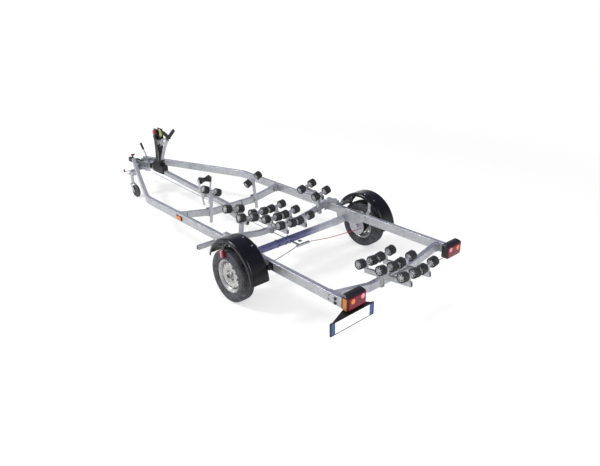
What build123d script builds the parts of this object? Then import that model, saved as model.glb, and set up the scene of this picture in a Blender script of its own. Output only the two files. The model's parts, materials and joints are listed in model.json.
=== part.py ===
"""Roller-cradle boat trailer, single axle, braked, parked on its jockey wheel.

Frame: +X towards the towing vehicle, +Y to the left, +Z up, millimetres.
The origin is on the ground, mid-length and mid-width. Lengthwise places below
are measured from the wheel axis and moved to that origin by ax().
"""
from build123d import *
from math import atan, atan2, cos, degrees, hypot, pi, radians, sin, sqrt, tan
import os

os.makedirs("parts", exist_ok=True)

# ---------------------------------------------------------------- driving dimensions
# overall reach, from the wheel axis
coupling_nose = 4400.0        # foremost point of the coupling head
plate_back = 1506.0           # rear face of the number plate

# wheels (155 R13 on 4.5J x 13)
tyre_radius = 289.0
tyre_width = 155.0
rim_bead_radius = 165.0
rim_flange_radius = 182.0
rim_width = 116.0
half_track = 1001.0           # wheel centre plane to the middle of the trailer
wheel_offset = 30.0           # mounting face outboard of the wheel centre plane
wheel_spigot_radius = 30.0

# side rails, rectangular tube
rail_height = 100.0
rail_width = 50.0
rail_wall = 4.0
rail_corner = 6.0
rail_top = 520.0
rail_outer = 812.0            # outer face to the middle of the trailer
rail_tail = 1380.0            # rail end behind the axle
rail_bend_x = 2225.0
rail_bend_deg = 20.8
rail_bend_radius = 420.0
rail_front_x = 4055.0

# crossbeams
beam_depth = 50.0
beam_wall = 4.0
beam_flat_half = 310.0        # half length of the level middle
beam_end_top = 516.0          # top of a beam where it meets the rail
beam_bend_radius = 90.0
rear_beam_x = -1247.0

# spine tube, from the drawbar head down to the front crossbeam
spine_size = 60.0
spine_wall = 4.0
spine_front_x = 3540.0
spine_front_z = 474.0         # centre of its front end
spine_rear_z = 366.0          # centre of its rear end

# rollers
roller_radius = 50.0
roller_width = 75.0
roller_edge = 7.0
rod_radius = 8.0
rod_play = 0.05
pair_hub_radius = 19.0
pair_hub_length = 62.0

# cradles
cradle_bar_y = 140.0
cradle_bar_width = 30.0
cradle_bar_height = 50.0
cradle_bar_wall = 3.0
cradle_row_pitch = 258.0
cradle_pair_half = 85.0       # roller centre to the middle of its pair
cradle_pair_deg = 6.0
cradle_rod_rise = 88.0        # rod above the bar's centre line
cradle_bar_end = 26.0         # bar beyond its last rod
cradle_pivot_rise = 30.0      # bar's centre line above the beam
cradle_tie_radius = 14.0
cradle_tie_back = 110.0       # tie between the bars, behind their pivot
rear_cradle_x = -1330.0       # middle of the rear cradle
rear_cradle_deg = 6.5         # its nose-down angle

# axle
axle_x = 135.0                # torsion tube ahead of the wheel axis
axle_z = 367.0
axle_flats = 84.0             # across the flats of the hexagonal tube
axle_half = 828.0
axle_wall = 6.0

# fenders
fender_x = -50.0
fender_z = 322.0
fender_radius = 393.0
fender_y = 966.0
fender_width = 220.0
fender_skirt = 42.0
fender_shoulder = 26.0
fender_wall = 5.0
fender_front_deg = 18.0       # lower edge above the level of its centre, ahead
fender_rear_deg = 3.0

# jockey wheel
jockey_x = 3765.0
jockey_y = 284.0
jockey_tube_radius = 24.0
jockey_leg_radius = 21.0
jockey_tube_low = 228.0
jockey_leg_low = 208.0
jockey_tube_top = 405.0
jockey_trail = 86.0
jockey_wheel_radius = 100.0
jockey_wheel_width = 55.0

# winch and bow stop
winch_x = 3250.0
winch_z = 1045.0
winch_post_lean = 6.0

# the rearmost point is on the last rollers of the rear cradle, whose rods lie slightly askew
rear_turn, pair_turn = radians(rear_cradle_deg), radians(cradle_pair_deg)
last_row = rear_beam_x - rear_cradle_x + cradle_row_pitch
last_rod = last_row * cos(rear_turn) - cradle_rod_rise * sin(rear_turn) - rear_beam_x
askew = sin(rear_turn) * sin(pair_turn) * (cradle_pair_half + roller_width / 2 - roller_edge)
tail_reach = last_rod + roller_radius + askew
shift = (tail_reach - coupling_nose) / 2
rail_y = rail_outer - rail_width / 2
rail_inner = rail_outer - rail_width
rail_low = rail_top - rail_height
rail_mid_z = rail_top - rail_height / 2
sides = {"left": 1, "right": -1}


def ax(x):
    """Lengthwise place measured from the wheel axis, in the part's frame."""
    return x + shift


def save(name, *solids):
    """Write one node, its solids side by side."""
    flat = []
    for item in solids:
        flat += item.solids()
    shape = flat[0] if len(flat) == 1 else Compound(flat)
    export_step(shape, f"parts/{name}.step")


def mirrored(shape):
    """The same shape on the other side of the trailer."""
    return mirror(shape, about=Plane.XZ)


def for_side(shape, side):
    """A shape drawn on the left, put on the named side."""
    return shape if side > 0 else mirrored(shape)


def block(x, y, z):
    """Box between (x0, x1), (y0, y1), (z0, z1), x measured from the wheel axis."""
    size = (x[1] - x[0], y[1] - y[0], z[1] - z[0])
    centre = (ax((x[0] + x[1]) / 2), (y[0] + y[1]) / 2, (z[0] + z[1]) / 2)
    return Pos(*centre) * Box(*size)


def rod(start, end, radius):
    """Round bar between two points, x measured from the wheel axis."""
    a = Vector(ax(start[0]), start[1], start[2])
    b = Vector(ax(end[0]), end[1], end[2])
    plane = Plane(origin=a, z_dir=b - a)
    return extrude(plane * Circle(radius), (b - a).length)


def hollow(width, height, wall, corner=0.0):
    """Section of a rectangular tube, its outer corners rounded where a radius is given."""
    outer = RectangleRounded(width, height, corner) if corner else Rectangle(width, height)
    return outer - Rectangle(width - 2 * wall, height - 2 * wall)


def along_y(radius, length, inner=0.0):
    """Cylinder or ring about Y, centred on the origin."""
    section = Circle(radius) - Circle(inner) if inner else Circle(radius)
    return extrude(Plane.XZ * section, length / 2, both=True)


# ---------------------------------------------------------------- chassis
def side_rail():
    """Left rail: straight from the tail, then bent in towards the coupling."""
    run = rail_front_x - rail_bend_x
    front_y = rail_y - run * tan(radians(rail_bend_deg))
    path = FilletPolyline(
        (ax(-rail_tail), rail_y, rail_mid_z),
        (ax(rail_bend_x), rail_y, rail_mid_z),
        (ax(rail_front_x), front_y, rail_mid_z),
        radius=rail_bend_radius,
    )
    section = Plane(origin=path @ 0, x_dir=(0, 1, 0), z_dir=(1, 0, 0)) * hollow(rail_width, rail_height, rail_wall, rail_corner)
    return sweep(section, path=path)


step_x = (532.0, 572.0)
step_end_y = 1068.0
step_z = (405.0, 450.0)
step_wall = 3.0


def side_step():
    """Short tube out from the left rail, ahead of the fender, with its plate under the rail."""
    width, height = step_x[1] - step_x[0], step_z[1] - step_z[0]
    centre = Vector(ax(sum(step_x) / 2), rail_outer, sum(step_z) / 2)
    plane = Plane(origin=centre, x_dir=(1, 0, 0), z_dir=(0, 1, 0))
    tube = extrude(plane * hollow(width, height, step_wall), step_end_y - rail_outer)
    under = block((step_x[0] - 20, step_x[1] + 20), (rail_inner, rail_outer + 30), (step_z[0] - 6, step_z[0]))
    riser = block((step_x[0] - 20, step_x[1] + 20), (rail_inner, rail_outer - 6), (step_z[0], rail_low))
    return tube + under + riser


def rail_outer_at(x):
    """Outer face of the rail, for a place on its bent-in part."""
    return rail_outer - (x - rail_bend_x) * tan(radians(rail_bend_deg))


# crossbeams: name, x from the axle, top of the level middle, height of the tube
beams = [
    ("crossbeam_front", 1405.0, 437.0, 80.0),
    ("crossbeam_middle", 435.0, 437.0, 60.0),
    ("crossbeam_rear", rear_beam_x, 424.0, 80.0),
]
plate_thick = 8.0
beam_plate_length = 130.0


def beam_top(flat_top, y):
    """Top of a crossbeam at a distance from the middle."""
    rise = (beam_end_top - flat_top) / (rail_inner - beam_flat_half)
    return flat_top + max(abs(y) - beam_flat_half, 0) * rise


def crossbeam(x, flat_top, height):
    """Dipped tube between the rails, with a plate against each rail."""
    low, high = flat_top - height / 2, beam_end_top - height / 2
    end = rail_inner - plate_thick
    path = FilletPolyline(
        (ax(x), -end, high),
        (ax(x), -beam_flat_half, low),
        (ax(x), beam_flat_half, low),
        (ax(x), end, high),
        radius=beam_bend_radius,
    )
    section = Plane(origin=path @ 0, x_dir=(1, 0, 0), z_dir=path % 0) * hollow(beam_depth, height, beam_wall)
    tube = sweep(section, path=path)
    half = beam_plate_length / 2
    plate = block((x - half, x + half), (end, rail_inner), (rail_low + 2, rail_top - 2))
    lip_y = (end - 40, end)
    lip = block((x - beam_depth / 2 - plate_thick, x - beam_depth / 2), lip_y, (rail_low + 2, beam_end_top - 4))
    ends = plate + lip
    room = block((x - 200, x + 200), (-end, end), (0, 900))
    return (tube & room) + ends + mirrored(ends)


def spine():
    """Square tube from the drawbar head down to the front crossbeam."""
    rear_x = beams[0][1] + beam_depth / 2
    start = Vector(ax(rear_x), 0, spine_rear_z)
    end = Vector(ax(spine_front_x), 0, spine_front_z)
    plane = Plane(origin=start, x_dir=(0, 1, 0), z_dir=end - start)
    tube = extrude(plane * hollow(spine_size, spine_size, spine_wall), (end - start).length)
    return tube - block((rear_x - 60, rear_x), (-60, 60), (200, 600))


def spine_room():
    """Space that the spine takes up, to cut out of what is clamped round it."""
    rear_x = beams[0][1] + beam_depth / 2
    start, end = Vector(ax(rear_x), 0, spine_rear_z), Vector(ax(spine_front_x), 0, spine_front_z)
    plane = Plane(origin=start, x_dir=(0, 1, 0), z_dir=end - start)
    return extrude(plane * Rectangle(spine_size, spine_size), (end - start).length)


def spine_z(x):
    """Height of the spine's centre line."""
    rear_x = beams[0][1] + beam_depth / 2
    return spine_rear_z + (x - rear_x) * (spine_front_z - spine_rear_z) / (spine_front_x - rear_x)


head_half = 62.0
head_plate = 8.0
head_rear_x = 3560.0
head_front_x = 4080.0
gusset_thick = 8.0
gusset_rear_x = 3700.0
gusset_front_x = 3975.0


def drawbar_head():
    """Two upright plates and a bottom gusset that join the rails to the coupling."""
    outline = Polyline(
        (head_rear_x, 400), (head_rear_x, 512), (3800, 512), (head_front_x, 486), (head_front_x, 404),
        (3900, 372), (3700, 372), close=True,
    )
    side = extrude(Plane.XZ * make_face(outline), -head_plate)
    side = Pos(shift, head_half - head_plate, 0) * side
    cap = block((3600, 3780), (-head_half, head_half), (512, 520))
    y_rear, y_front = rail_outer_at(gusset_rear_x), rail_outer_at(gusset_front_x)
    corners = Polyline(
        (gusset_rear_x, -y_rear), (gusset_rear_x, y_rear), (gusset_front_x, y_front), (gusset_front_x, -y_front),
        close=True,
    )
    gusset = Pos(shift, 0, rail_low - gusset_thick) * extrude(make_face(corners), gusset_thick)
    return side + mirrored(side) + cap + gusset


left_rail = side_rail() + side_step()
save("rail_left", left_rail)
save("rail_right", mirrored(left_rail))
save("spine_tube", spine())

# ---------------------------------------------------------------- coupling and brakes
coupling_z = 444.0
housing_radius = 23.9
coupling_shaft_radius = 20.0
ball_socket_radius = 25.25
ball_socket_depth = 34.0
head_low = 398.0
head_height = 60.0
ball_x = 4340.0
bellows_rear_x = 3990.0
bellows_front_x = 4135.0
bellows_folds = 5
brake_rod_radius = 6.0
brake_rod_y = 47.0
brake_rod_front = (3500.0, 390.0)
brake_rod_rear = (190.0, 304.0)


def coupling_head():
    """Ball head on its shaft, with the overrun housing behind it."""
    housing = rod((3640, 0, coupling_z), (bellows_rear_x, 0, coupling_z), housing_radius)
    foot_y = (-head_half + head_plate, head_half - head_plate)
    foot_z = (coupling_z - housing_radius + 1, coupling_z + housing_radius - 1)
    feet = block((3700, 3740), foot_y, foot_z) + block((3900, 3940), foot_y, foot_z)
    shaft = rod((bellows_rear_x, 0, coupling_z), (4200, 0, coupling_z), coupling_shaft_radius)
    outline = Polyline(
        (4150, -30), (4180, -36), (ball_x - 20, -40), (ball_x + 30, -36), (coupling_nose, -14),
        (coupling_nose, 14), (ball_x + 30, 36), (ball_x - 20, 40), (4180, 36), (4150, 30), close=True,
    )
    head = extrude(make_face(outline), head_height)
    head = Pos(shift, 0, head_low) * head
    head = chamfer(head.faces().sort_by(Axis.Z)[-1].edges(), 10)
    socket = Pos(ax(ball_x), 0, head_low + ball_socket_depth / 2) * Cylinder(ball_socket_radius, ball_socket_depth)
    return housing + feet + shaft + head - socket


def bellows():
    """Folded rubber gaiter round the coupling shaft."""
    pitch = (bellows_front_x - bellows_rear_x) / bellows_folds
    points = [(coupling_shaft_radius + 0.3, 0)]
    for fold in range(bellows_folds):
        points += [(33, fold * pitch), (44, (fold + 0.5) * pitch)]
    points += [(33, bellows_folds * pitch), (coupling_shaft_radius + 0.3, bellows_folds * pitch)]
    body = revolve(Plane.XZ * make_face(Polyline(*points, close=True)), Axis.Z)
    return Pos(ax(bellows_rear_x) + 0.5, 0, coupling_z) * Rot(0, 90, 0) * body


def coupling_lever():
    """Lift handle over the ball head."""
    grip = rod((4290, 0, coupling_z + 6), (4262, 0, coupling_z + 74), 13)
    bar = rod((4262, -26, coupling_z + 76), (4262, 26, coupling_z + 76), 11)
    return grip + bar


lever_pivot = (3716.0, 545.0)
lever_tip = (3905.0, 780.0)
lever_y = 0.0
lever_ears = 13.0


def handbrake_lever():
    """Lever with its grip, and the boss that it turns on."""
    low, tip = lever_pivot, lever_tip
    reach = hypot(tip[0] - low[0], tip[1] - low[1])
    along = ((tip[0] - low[0]) / reach, (tip[1] - low[1]) / reach)
    grip_start = (low[0] + along[0] * (reach - 95), lever_y, low[1] + along[1] * (reach - 95))
    flat = Pos(reach / 2 - 20, 0, 0) * Box(reach - 40, 10, 24)
    bar = Pos(ax(low[0]), lever_y, low[1]) * Rot(0, -degrees(atan2(along[1], along[0])), 0) * flat
    boss = Pos(ax(low[0]), lever_y, low[1]) * along_y(17, 14)
    bore = Pos(ax(low[0]), lever_y, low[1]) * along_y(rod_radius + rod_play, 40)
    grip = rod(grip_start, (tip[0], lever_y, tip[1]), 15)
    return bar + boss + grip - bore


def handbrake_bracket():
    """Two ears on the drawbar head with the lever's pin."""
    x, z = lever_pivot
    ear_outline = Polyline((x - 34, 520), (x + 34, 520), (x + 16, z + 16), (x - 16, z + 16), close=True)
    ear = Pos(shift, lever_y + lever_ears + 6, 0) * extrude(Plane.XZ * make_face(ear_outline), 6)
    other = Pos(0, -2 * lever_ears - 6, 0) * ear
    pin = Pos(ax(x), lever_y, z) * along_y(rod_radius, 2 * lever_ears + 20)
    return ear + other + pin


def brake_rod():
    """Straight pull rod under the spine, from the overrun device to the axle."""
    front, rear = brake_rod_front, brake_rod_rear
    bar = rod((rear[0], brake_rod_y, rear[1]), (front[0], brake_rod_y, front[1]), brake_rod_radius)
    clevis = rod((front[0] - 6, brake_rod_y, front[1]), (front[0] + 44, brake_rod_y, front[1]), 11)
    return bar + clevis


save("drawbar_head", drawbar_head() + handbrake_bracket())
save("coupling_head", coupling_head() + coupling_lever())
save("coupling_bellows", bellows())
save("handbrake_lever", handbrake_lever())

# ---------------------------------------------------------------- axle, brakes and wheels
collar_y = 640.0
collar_width = 38.0
arm_y = (834.0, 870.0)
arm_radius = 48.0
stub_radius = 18.0
stub_end = half_track + 39.0
stub_end_play = 4.0
plate_front_x = 233.0
plate_rear_x = -236.0
saddle_thick = 7.0
drum_radius = 112.0
drum_width = 56.0
drum_inner_y = 880.0


def axle_tube():
    """Hexagonal torsion tube with a collar near each rail."""
    hexagon = RegularPolygon(axle_flats / 2, 6, major_radius=False, rotation=30)
    inner = RegularPolygon(axle_flats / 2 - axle_wall, 6, major_radius=False, rotation=30)
    tube = extrude(Plane.XZ * (hexagon - inner), axle_half, both=True)
    collar_flats = axle_flats / 2 + 5
    ring = RegularPolygon(collar_flats, 6, major_radius=False, rotation=30) - inner
    collar = extrude(Plane.XZ * ring, collar_width / 2, both=True)
    return Pos(ax(axle_x), 0, axle_z) * (tube + Pos(0, collar_y, 0) * collar + Pos(0, -collar_y, 0) * collar)


def axle_saddle():
    """Plate on the rail's inner face that reaches down to the axle tube."""
    low = axle_z - 6
    outline = Polyline(
        (plate_rear_x, 440), (-80, low), (axle_x + 75, low), (plate_front_x, 400),
        (plate_front_x, rail_top - 3), (plate_rear_x, rail_top - 3), close=True,
    )
    plate = Pos(shift, rail_inner, 0) * extrude(Plane.XZ * make_face(outline), saddle_thick)
    shelf = block((axle_x - 78, axle_x + 78), (rail_inner - saddle_thick, rail_outer), (rail_low - 6, rail_low))
    flats = axle_flats / 2
    cradle = block((axle_x - 60, axle_x + 60), (rail_inner - saddle_thick, rail_outer), (low, rail_low - 6))
    room = Pos(ax(axle_x), 780, axle_z) * extrude(
        Plane.XZ * RegularPolygon(flats, 6, major_radius=False, rotation=30), 200, both=True
    )
    return plate + shelf + cradle - room


def trailing_arm():
    """Arm from the torsion tube back to the wheel's stub axle."""
    thick = arm_y[1] - arm_y[0]
    middle = (arm_y[0] + arm_y[1]) / 2
    big = Pos(ax(axle_x), middle, axle_z) * along_y(arm_radius, thick)
    small = Pos(ax(0), middle, tyre_radius) * along_y(36, thick)
    reach = hypot(axle_x, axle_z - tyre_radius)
    tilt = degrees(atan2(axle_z - tyre_radius, axle_x))
    web = Pos(ax(axle_x / 2), middle, (axle_z + tyre_radius) / 2) * Rot(0, -tilt, 0) * Box(reach, thick, 66)
    bar = Pos(ax(axle_x), axle_half - 20, axle_z) * along_y(30, 2 * (arm_y[0] - axle_half + 20))
    seal = Pos(ax(axle_x), (axle_half + arm_y[0]) / 2, axle_z) * along_y(axle_flats / 2 - 1, arm_y[0] - axle_half)
    stub = Pos(ax(0), (arm_y[1] + stub_end) / 2, tyre_radius) * along_y(stub_radius, stub_end - arm_y[1])
    backplate = Pos(ax(0), arm_y[1] + 4, tyre_radius) * along_y(drum_radius + 4, 6)
    return big + small + web + bar + seal + stub + backplate


def revolved_y(points):
    """Ring about Y from (radius, y) points."""
    wire = Polyline(*points, close=True)
    return revolve(make_face(wire), Axis.Y)


def tyre():
    """Tyre with rounded shoulders, its beads on the rim."""
    half, crown, seat = tyre_width / 2, tyre_radius, rim_bead_radius
    lip, bead = rim_flange_radius + 0.5, rim_width / 2 - 4.6
    outline = Polyline(
        (seat, -46), (lip, -bead), (lip + 2, -bead - 6), (235, -half), (262, -half + 5), (281, -52), (crown, -34),
        (crown, 34), (281, 52), (262, half - 5), (235, half), (lip + 2, bead + 6), (lip, bead), (seat, 46),
        (seat + 8, 38), (255, 55), (255, -55), (seat + 8, -38),
        close=True,
    )
    return revolve(make_face(outline), Axis.Y)


rim_holes = 12
rim_hole_pcd = 262.0
rim_hole_radius = 13.5
hub_radius = 33.0


def rim():
    """Pressed steel wheel: well and disc with round vents."""
    half = rim_width / 2
    flange, seat, wall = rim_flange_radius, rim_bead_radius - 0.4, 3.5
    bed, depth = seat - 18, 36
    well = [
        (flange, -half), (seat, -half + 10), (seat, -depth), (bed, -14), (bed, 14), (seat, depth), (seat, half - 10),
        (flange, half), (flange - 8, half), (seat - wall - 1, half - 12), (bed - wall, 13), (bed - wall, -13),
        (seat - wall - 1, -half + 12), (flange - 8, -half),
    ]
    face = wheel_offset
    disc = [
        (wheel_spigot_radius, face), (72, face), (88, face + 11), (114, face + 12), (138, face + 3), (bed - 1, face - 18),
        (bed - 1, face - 30), (bed - 5, face - 30), (134, face - 1), (112, face + 7), (90, face + 6), (74, face - 5),
        (wheel_spigot_radius, face - 5),
    ]
    body = revolved_y(well) + revolved_y(disc)
    for index in range(rim_holes):
        turn = Rot(0, index * 360 / rim_holes, 0)
        body -= turn * Pos(rim_hole_pcd / 2, face, 0) * along_y(rim_hole_radius, 60)
    return body


def drum():
    """Brake drum with its hub and grease cap."""
    y0 = drum_inner_y
    face = half_track + wheel_offset - 5
    bore_end = stub_end + stub_end_play
    outline = [
        (drum_radius, y0), (drum_radius, y0 + drum_width), (96, y0 + drum_width + 8), (76, face), (wheel_spigot_radius - 0.5, face),
        (wheel_spigot_radius - 0.5, face + 22), (22, face + 34), (0, face + 34), (0, bore_end), (stub_radius + 0.06, bore_end),
        (stub_radius + 0.06, y0 + 6), (hub_radius, y0 + 6), (hub_radius, face - 14), (60, face - 14),
        (88, y0 + drum_width), (drum_radius - 8, y0 + drum_width - 6), (drum_radius - 8, y0),
    ]
    return Pos(ax(0), 0, tyre_radius) * revolved_y(outline)


def wheel_at(shape):
    """Put a wheel piece, drawn round the origin, on the left stub axle."""
    return Pos(ax(0), half_track, tyre_radius) * shape


rim_piece = rim()
tyre_piece = tyre()
drum_piece = drum()
save("axle", axle_tube() + trailing_arm() + mirrored(trailing_arm()))
save("axle_saddles", axle_saddle(), mirrored(axle_saddle()))
for side_name, side in sides.items():
    save(f"tyre_{side_name}", for_side(wheel_at(tyre_piece), side))
    save(f"rim_{side_name}", for_side(wheel_at(rim_piece), side))
    save(f"brake_drum_{side_name}", for_side(drum_piece, side))

# ---------------------------------------------------------------- fenders


def fender():
    """Left fender: one pressed skin with a deeper outer skirt."""
    half, r, t = fender_width / 2, fender_radius, fender_wall
    crown = 8.0
    outer = [
        (r - fender_skirt, half), (r - 20, half), (r - 8, half - 6), (r - 2, half - 22), (r, half / 3), (r, -half / 3),
        (r - 2, -half + 20), (r - 8, -half + 6), (r - 16, -half), (r - fender_shoulder, -half),
    ]
    inner = [
        (r - fender_shoulder, -half + t), (r - 16 - t, -half + t), (r - 8 - t, -half + 6 + t), (r - 2 - t, -half + 20 + t),
        (r - t, -half / 3), (r - t, half / 3), (r - 2 - t, half - 22 - t), (r - 8 - t, half - 6 - t),
        (r - 20 - t, half - t), (r - fender_skirt, half - t),
    ]
    section = make_face(Polyline(*(outer + inner), close=True))
    arc = 180 - fender_front_deg - fender_rear_deg
    skin = revolve(section, Axis.Y, revolution_arc=arc)
    return Pos(ax(fender_x), fender_y, fender_z) * Rot(0, -(180 - fender_rear_deg), 0) * skin


fender_arm_deg = (40.0, 118.0)      # places of the arms round the fender, from straight ahead
fender_arm_width = 40.0
fender_arm_thick = 6.0
fender_gap = 0.4
fender_inner_y = fender_y - fender_width / 2


def under_fender(radius):
    """Solid cylinder about the fender's centre, to trim what sits under its skin."""
    return Pos(ax(fender_x), fender_y, fender_z) * along_y(radius, 2 * fender_width)


def fender_arm(angle):
    """Z-shaped arm from the rail's outer face to the fender's underside."""
    crown = fender_radius - fender_wall - fender_gap
    under_skirt = fender_radius - fender_shoulder - 2
    x = fender_x + under_skirt * cos(radians(angle))
    z = fender_z + under_skirt * sin(radians(angle))
    w, t = fender_arm_width / 2, fender_arm_thick
    shelf_z = rail_top + 18
    post_y = (fender_inner_y - 16, fender_inner_y - 16 + t)
    foot = block((x - w, x + w), (rail_outer, rail_outer + t), (rail_low + 12, shelf_z))
    shelf = block((x - w, x + w), (rail_outer, post_y[1]), (shelf_z - t, shelf_z))
    post = block((x - w, x + w), post_y, (shelf_z - t, z + 40))
    lean = block((x - w, x + w), (post_y[0], fender_y + 40), (z - 34, z + 40))
    lean -= block((x - 200, x + 200), (post_y[1], fender_y + 60), (z - 60, z - 22))
    riser = Pos(ax(fender_x), fender_y, fender_z) * Rot(0, -angle, 0) * Pos(crown - 28, 0, 0) * Box(60, 60, 2 * w)
    return foot + shelf + ((post + lean) & under_fender(under_skirt)) + (riser & under_fender(crown))


strap_x = (-421.0, -391.0)


def fender_strap():
    """Black stay between the rail and the fender's rear inner edge."""
    foot = block((strap_x[0] - 14, strap_x[1] + 14), (rail_outer, rail_outer + 5), (rail_low + 16, rail_top - 14))
    arm = block(strap_x, (rail_outer, fender_inner_y), (rail_low + 26, rail_low + 66))
    return arm + foot


fender_piece = fender()
arms = [fender_arm(angle) for angle in fender_arm_deg]
save("fender_left", fender_piece)
save("fender_right", mirrored(fender_piece))
stays = [*arms, fender_strap()]
save("fender_stays", *stays, *[mirrored(a) for a in stays])

# ---------------------------------------------------------------- rollers and what carries them


def roller():
    """Roller about Y: tread with bevelled edges, and a bore."""
    half, r, edge = roller_width / 2, roller_radius, roller_edge
    bore = rod_radius + rod_play
    return revolved_y([
        (bore, -half), (r - edge, -half), (r, -half + edge), (r, half - edge), (r - edge, half), (bore, half),
    ])


def pair_rollers(spacing):
    """Two rollers on one rod, either side of its hub."""
    one = roller()
    return [Pos(0, spacing / 2, 0) * one, Pos(0, -spacing / 2, 0) * one]


def pair_rod(spacing, hub_drop):
    """Rod, hub tube and the foot under it."""
    length = spacing + roller_width + 6
    bar = along_y(rod_radius, length)
    hub = along_y(pair_hub_radius, pair_hub_length)
    foot_top = 6
    foot = Pos(0, 0, -(hub_drop + foot_top) / 2) * Box(30, 26, hub_drop - foot_top)
    return bar + hub + foot


def cradle_bar():
    """Lengthwise bar of a cradle with its pads, drawn about its own middle."""
    half = cradle_row_pitch + cradle_bar_end
    section = Plane.YZ * hollow(cradle_bar_width, cradle_bar_height, cradle_bar_wall)
    return extrude(section, half, both=True)


# cradles: name, beam, middle of the cradle from the axle, nose-down angle
cradles = [
    ("middle", beams[1], 406.0, 0.0),
    ("rear", beams[2], rear_cradle_x, rear_cradle_deg),
]
rows = {"front": 1, "centre": 0, "back": -1}


def cradle_pivot(beam):
    """Pivot place of a cradle, over its crossbeam."""
    return beam[1], beam[2] + cradle_pivot_rise


def on_cradle(beam, middle, nose_down):
    """Placement of a cradle's own frame: bars' centre line over the beam."""
    x, z = cradle_pivot(beam)
    return Pos(ax(x), 0, z) * Rot(0, nose_down, 0) * Pos(middle - x, 0, 0)


def pair_place(row, side, rise=cradle_rod_rise, y=cradle_bar_y):
    """Placement of a roller pair on a cradle, outer roller higher."""
    return Pos(row * cradle_row_pitch, side * y, rise) * Rot(side * cradle_pair_deg, 0, 0)


clamp_width = 46.0
pivot_pin_radius = 7.0


def cradle_frame(pivot_offset):
    """Two bars with caps, the roller rods on them and a cross tube between."""
    drop = cradle_rod_rise - cradle_bar_height / 2
    bar = cradle_bar()
    for row in rows.values():
        place = Pos(row * cradle_row_pitch, 0, cradle_rod_rise) * Rot(cradle_pair_deg, 0, 0)
        bar += place * pair_rod(2 * cradle_pair_half, drop + 4)
    pivot_pad = Pos(pivot_offset, 0, -cradle_bar_height / 2 + 6) * Box(60, cradle_bar_width, 12)
    pivot_bore = Pos(pivot_offset, 0, 0) * along_y(pivot_pin_radius + rod_play, 80)
    left = Pos(0, cradle_bar_y, 0) * (bar + pivot_pad - pivot_bore)
    tie = along_y(cradle_tie_radius, 2 * cradle_bar_y - cradle_bar_width + 2)
    return left + mirrored(left) + Pos(pivot_offset - cradle_tie_back, 0, 0) * tie


def cradle_clamp(beam):
    """Two cheek pairs on the crossbeam, each with the pin of a cradle bar."""
    x, z = cradle_pivot(beam)
    top = beam[2]
    solids = []
    for side in (1, -1):
        y = side * cradle_bar_y
        gap = cradle_bar_width / 2 + 1.5
        cheeks = block((x - 34, x + 34), (y - gap - 6, y - gap), (top - beam[3] - 12, z + 14))
        cheeks += block((x - 34, x + 34), (y + gap, y + gap + 6), (top - beam[3] - 12, z + 14))
        cheeks -= block((x - beam_depth / 2, x + beam_depth / 2), (y - 60, y + 60), (top - beam[3], top))
        floor = block((x - 34, x + 34), (y - gap, y + gap), (top - beam[3] - 12, top - beam[3] - 6))
        pin = Pos(ax(x), y, z) * along_y(pivot_pin_radius, 2 * gap + 24)
        solids.append(cheeks + floor + pin)
    return solids


save("crossbeam_front", crossbeam(*beams[0][1:]))
for cradle_name, cradle_beam, cradle_middle, cradle_tip in cradles:
    beam_piece = crossbeam(*cradle_beam[1:])
    for clamp in cradle_clamp(cradle_beam):
        beam_piece += clamp
    save(cradle_beam[0], beam_piece)
    place = on_cradle(cradle_beam, cradle_middle, cradle_tip)
    save(f"cradle_{cradle_name}", place * cradle_frame(cradle_beam[1] - cradle_middle))
    for row_name, row in rows.items():
        for side_name, side in sides.items():
            pair = [place * pair_place(row, side) * r for r in pair_rollers(2 * cradle_pair_half)]
            save(f"rollers_{cradle_name}_{row_name}_{side_name}", *pair)

# side rockers on the middle crossbeam: pivot, pair spacing, angles
rocker_x = 435.0
rocker_y = 556.0
rocker_axis_z = 724.0         # rods of the rocker, at its middle
rocker_roll_deg = 14.0
rocker_nose_up_deg = 6.5
rocker_pair_half = 88.0
rocker_bar_drop = 54.0        # bar's centre line below its rods
rocker_bar_width = 40.0
rocker_post_size = 40.0
rocker_side_play = 1.5
rocker_tilt_deg = 8.0         # either way from rest
rocker_clear = 6.0            # under the tilted bar
post_lean_deg = degrees(atan((beam_end_top - beams[1][2]) / (rail_inner - beam_flat_half)))


def rocker_place():
    """Placement of the left rocker's own frame at its pivot pin."""
    lift = Pos(0, 0, -rocker_bar_drop)
    return Pos(ax(rocker_x), rocker_y, rocker_axis_z) * Rot(0, -rocker_nose_up_deg, 0) * Rot(rocker_roll_deg, 0, 0) * lift


def rocker_frame():
    """Short lengthwise bar with two roller rods."""
    half = cradle_row_pitch / 2 + cradle_bar_end
    bar = extrude(Plane.YZ * hollow(rocker_bar_width, cradle_bar_height, cradle_bar_wall), half, both=True)
    for row in (0.5, -0.5):
        drop = rocker_bar_drop - cradle_bar_height / 2
        bar += Pos(row * cradle_row_pitch, 0, rocker_bar_drop) * pair_rod(2 * rocker_pair_half, drop + 4)
    return bar - along_y(pivot_pin_radius + rod_play, 80)


def rocker_rooms():
    """Spaces that the rocker's bar needs at its two limits, with clearance under it."""
    room = Box(cradle_row_pitch, rocker_bar_width + 2 * rocker_side_play, cradle_bar_height + 2 * rocker_clear)
    return [rocker_place() * Rot(0, way * rocker_tilt_deg, 0) * room for way in (1, -1)]


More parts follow.
